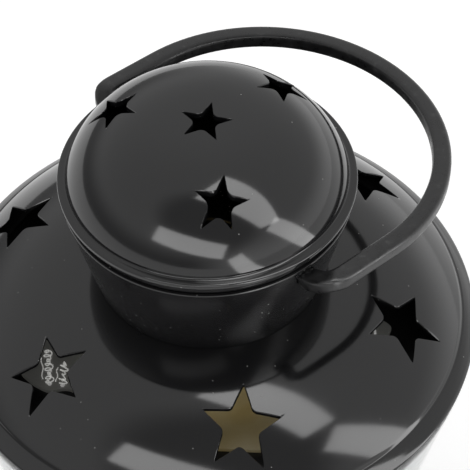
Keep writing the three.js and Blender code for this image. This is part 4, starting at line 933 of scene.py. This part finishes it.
# Domed cap
# The cap over the collar: polished black ABS with a flat brim, a dark recess under it, a spigot that drops
# into the collar, and one star on top with three round it.
BRIM_R, BRIM_BOTTOM, BRIM_TOP = 36.0, 183.1, 184.9
DOME_R, DOME_FOOT, DOME_RISE = 33.9, 185.4, 16.8
DOME_ROUNDNESS, DOME_SHOULDER = 3.55, 1.3


def dome_height(r, under=0.0):
    """Height in mm of the dome's outside, or of a surface that much under it."""
    share = min(1.0, r / (DOME_R - under))
    return DOME_FOOT + (DOME_RISE - under) * (1 - share ** DOME_ROUNDNESS) ** (1 / DOME_SHOULDER)


def dome_line(under, count):
    """The dome's line from its top to its foot, closer together where it turns down."""
    radius = DOME_R - under
    places = [radius * math.sin(math.pi / 2 * i / count) ** 0.9 for i in range(count + 1)]
    return [(r, dome_height(r, under)) for r in places]


cap_outline = dome_line(0.0, 60)
cap_outline += [(33.95, 185.2), (34.08, 185.02), (34.35, 184.92), (34.6, 184.9)]
cap_outline += rounded([
    (34.6, BRIM_TOP, 0), (BRIM_R, BRIM_TOP, 0.55), (BRIM_R, BRIM_BOTTOM, 1.1), (34.6, BRIM_BOTTOM, 0.2),
    (34.6, 180.75, 0.3), (33.2, 180.75, 0.2), (33.2, 179.3, 0.3), (32.2, 179.3, 0.3), (32.2, 184.3, 0)],
    0.3, 5)[1:]
cap_outline += [(r, z) for r, z in reversed(dome_line(1.5, 40))]
cap = turned("cap_plain", cap_outline, 192, closed=False, crisp=40)
# The front star's upper arm is shorter, as the last value says.
DOME_STAR = (6.5, 2.45, 1.2)
DOME_STARS = [(0.5, -108, 111.7, 1.0), (23.3, -83.1, 20.5, 0.82), (23, 38, 19, 1.0), (22.9, 160.1, 20, 1.0)]
for i, (*spot, first_tip) in enumerate(DOME_STARS):
    cut_away(cap, star_punch(f"dome_star_{i}", *DOME_STAR, *spot, dome_height, 9, first_tip))
smooth(cap, 35)
cap.name = "pierced_cap"
cap_black = polished_black("polished_black_abs_cap", 0.05)
dress(cap, cap_black, stands_for=["cap_dome"])

# Handle
# The carrying loop: one moulding of satin black polypropylene, 4.7 mm wide and 4.3 mm thick with rounded
# corners. Its ends bend in under the brim, a little lower than the loop, and snap into the collar on two
# headed pins.
BAR_WIDTH, BAR_THICK, BAR_CORNER = 4.65, 4.25, 1.3
BAR_END = 35.7
SPAN, STRAIGHT, BEND = 42.6, 20.0, 5.0
LOOP_RISE, RISE_LENGTH, LOOP_DROOP = 3.2, 9.0, 2.5
PINS = [(2.3, 30.4, 36.2), (2.9, 29.2, 30.4)]
bent = [(SPAN - BEND * (1 - k / 8) ** 2, BEND * (k / 8) ** 2) for k in range(9)]
arc = [math.pi * k / 64 for k in range(65)]
half_circle = [(SPAN * math.cos(a), STRAIGHT + SPAN * math.sin(a)) for a in arc]
sides = [(SPAN, BEND + (STRAIGHT - BEND) * k / 6) for k in range(1, 6)]
line = [(BAR_END, 0.0)] + bent + sides + half_circle
line += [(-x, y) for x, y in reversed([(BAR_END, 0.0)] + bent + sides)]
curve = bpy.data.curves.new("handle_line", "CURVE")
curve.dimensions, curve.twist_mode = "3D", "Z_UP"
poly_line(curve, line)
section = bpy.data.curves.new("handle_section", "CURVE")
section.dimensions = "2D"
w, t = BAR_WIDTH / 2, BAR_THICK / 2
poly_line(section, rounded(box_outline(-w, w, -t, t), BAR_CORNER, 6)).use_cyclic_u = True
section_object = new_object("handle_section", section)
curve.bevel_mode, curve.bevel_object, curve.use_fill_caps = "OBJECT", section_object, True
handle = as_mesh("handle_bar", curve)
bpy.data.objects.remove(section_object)
for vertex in handle.data.vertices:
    reach = max(vertex.co.y / MM, 0.0)
    share = min(1.0, max(0.0, (abs(vertex.co.x) / MM - BAR_END + reach) / RISE_LENGTH))
    lifted = LOOP_RISE * share * share * (3 - 2 * share)
    vertex.co.z += (lifted - reach * math.tan(math.radians(LOOP_DROOP))) * MM
for side in (-1, 1):
    for radius, start, end in PINS:
        bpy.ops.mesh.primitive_cylinder_add(
            vertices=40, radius=radius * MM, depth=(end - start + 0.02) * MM,
            rotation=(0, math.pi / 2, 0), location=(side * (start + end) / 2 * MM, 0, 0))
        close_edit(bpy.context.object)
        handle.select_set(True)
        bpy.context.view_layer.objects.active = handle
        bpy.ops.object.join()
handle.rotation_euler = (0, 0, math.radians(PIVOT_AZIMUTH - 90))
handle.location = (0, 0, PIVOT * MM)
close_edit(handle, "carrying_handle")
edit(handle)
bpy.ops.mesh.normals_make_consistent(inside=False)
smooth(handle, 35)

# Polypropylene, moulded: semi-gloss, with a faint mottle and small light specks from handling.
handle_black = mottled(
    "moulded_black_polypropylene", {"Scale": 420.0, "Detail": 4.0, "Roughness": 0.6},
    [(0.35, 0x121213), (0.6, 0x1C1C1D), (0.74, 0x3C3C3C)], (0.22, 0.42), (0.6, 0.00002), {"IOR": 1.49})
dress(handle, handle_black, "handle", ["handle"])

# Floor, light and camera
# A plain pale sweep under soft white surroundings, darker overhead towards the camera, with four soft lamps
# close to the lantern that give its long pale highlights. The camera looks down at the cap from the front.
bpy.ops.mesh.primitive_plane_add(size=6)
floor = close_edit(bpy.context.object, "studio_floor")
pale = blank_material("pale_studio_floor")[0]
paper = add_node(pale, "BsdfDiffuse", {"Color": (0.88, 0.88, 0.88, 1.0)})
lift = add_node(pale, "Emission", {"Color": (1.0, 1.0, 1.0, 1.0), "Strength": 0.42})
finished(pale, "AddShader", {0: paper, 1: lift})
floor.data.materials.append(pale)

world = bpy.data.worlds.new("white_studio")
bpy.context.scene.world = world
world.use_nodes = True
world.node_tree.nodes.clear()
around = add_node(world, "TexCoord")
dark_from = Vector((0.05, -0.62, 0.78)).normalized()
closeness = add_node(world, "VectorMath", {
    0: around.outputs["Generated"], 1: dark_from}, operation="DOT_PRODUCT")
shade = add_node(world, "MapRange", {
    "Value": closeness.outputs["Value"], "From Min": 0.72, "From Max": 0.9, "To Min": 0.88, "To Max": 0.38},
    interpolation_type="SMOOTHSTEP")
way = add_node(world, "SeparateXYZ", {0: around.outputs["Generated"]})
low_left = add_node(world, "MapRange", {
    "Value": way, "From Min": -0.3, "From Max": 0.5, "To Min": 0.35, "To Max": 1.7},
    interpolation_type="SMOOTHSTEP")
height = add_node(world, "MapRange", {
    "Value": way.outputs[2], "From Min": 0.02, "From Max": 0.42}, interpolation_type="SMOOTHSTEP")
horizon = add_node(world, "Mix", {0: height, 2: low_left, 3: 1.0})
strength = add_node(world, "Math", {0: shade, 1: horizon}, operation="MULTIPLY")
sky = add_node(world, "Background", {"Color": (1.0, 1.0, 1.0, 1.0), "Strength": strength})
add_node(world, "OutputWorld", {"Surface": sky})


def lamp(name, centre, x_axis, y_axis, width, height, strength=4.5):
    """A soft rectangular lamp from its centre and sides in mm: it shows only as a highlight."""
    data = bpy.data.lights.new(name, "AREA")
    data.shape = "RECTANGLE"
    data.size, data.size_y = width * MM, height * MM
    data.energy = strength * math.pi * width * height * MM * MM
    across, along = Vector(x_axis).normalized(), Vector(y_axis)
    facing = across.cross(along).normalized()
    along = facing.cross(across)
    item = new_object(name, data)
    item.matrix_world = Matrix(
        [[across[i], along[i], facing[i], centre[i] * MM] for i in range(3)] + [[0, 0, 0, 1]])
    item.visible_camera = False
    item.visible_diffuse = False
    item.visible_transmission = False
    return item


lamp("lamp_over_cap", (42.8, -50.7, 245.9), (-0.794, 0.607, 0.036), (-0.569, -0.762, 0.31), 108.6, 32.4)
lamp("lamp_right", (179.6, -91.7, 176.1), (-0.483, -0.189, 0.855), (-0.076, -0.964, -0.255), 218.3, 42.5)
lamp("lamp_left", (-31.8, -142.3, 245.3), (-0.898, 0.406, 0.167), (-0.29, -0.265, -0.919), 141.9, 44.2)
lamp("lamp_low", (83.0, -195.0, 156.0), (0.81, 0.42, 0.4), (-0.09, -0.6, 0.8), 50.0, 180.0)

camera_data = bpy.data.cameras.new("photo_camera")
camera_data.lens, camera_data.sensor_width = 137.87, 36.0
camera_data.clip_start, camera_data.clip_end = 0.02, 20.0
camera = new_object("photo_camera", camera_data)
camera.matrix_world = Matrix([
    [0.99958, 0.02501, -0.01451, 0.0],
    [-0.02831, 0.74342, -0.66822, -0.2992],
    [-0.00592, 0.66835, 0.74382, 0.4950],
    [0, 0, 0, 1],
])
bpy.context.scene.camera = camera
bpy.context.scene.view_settings.view_transform = "Standard"
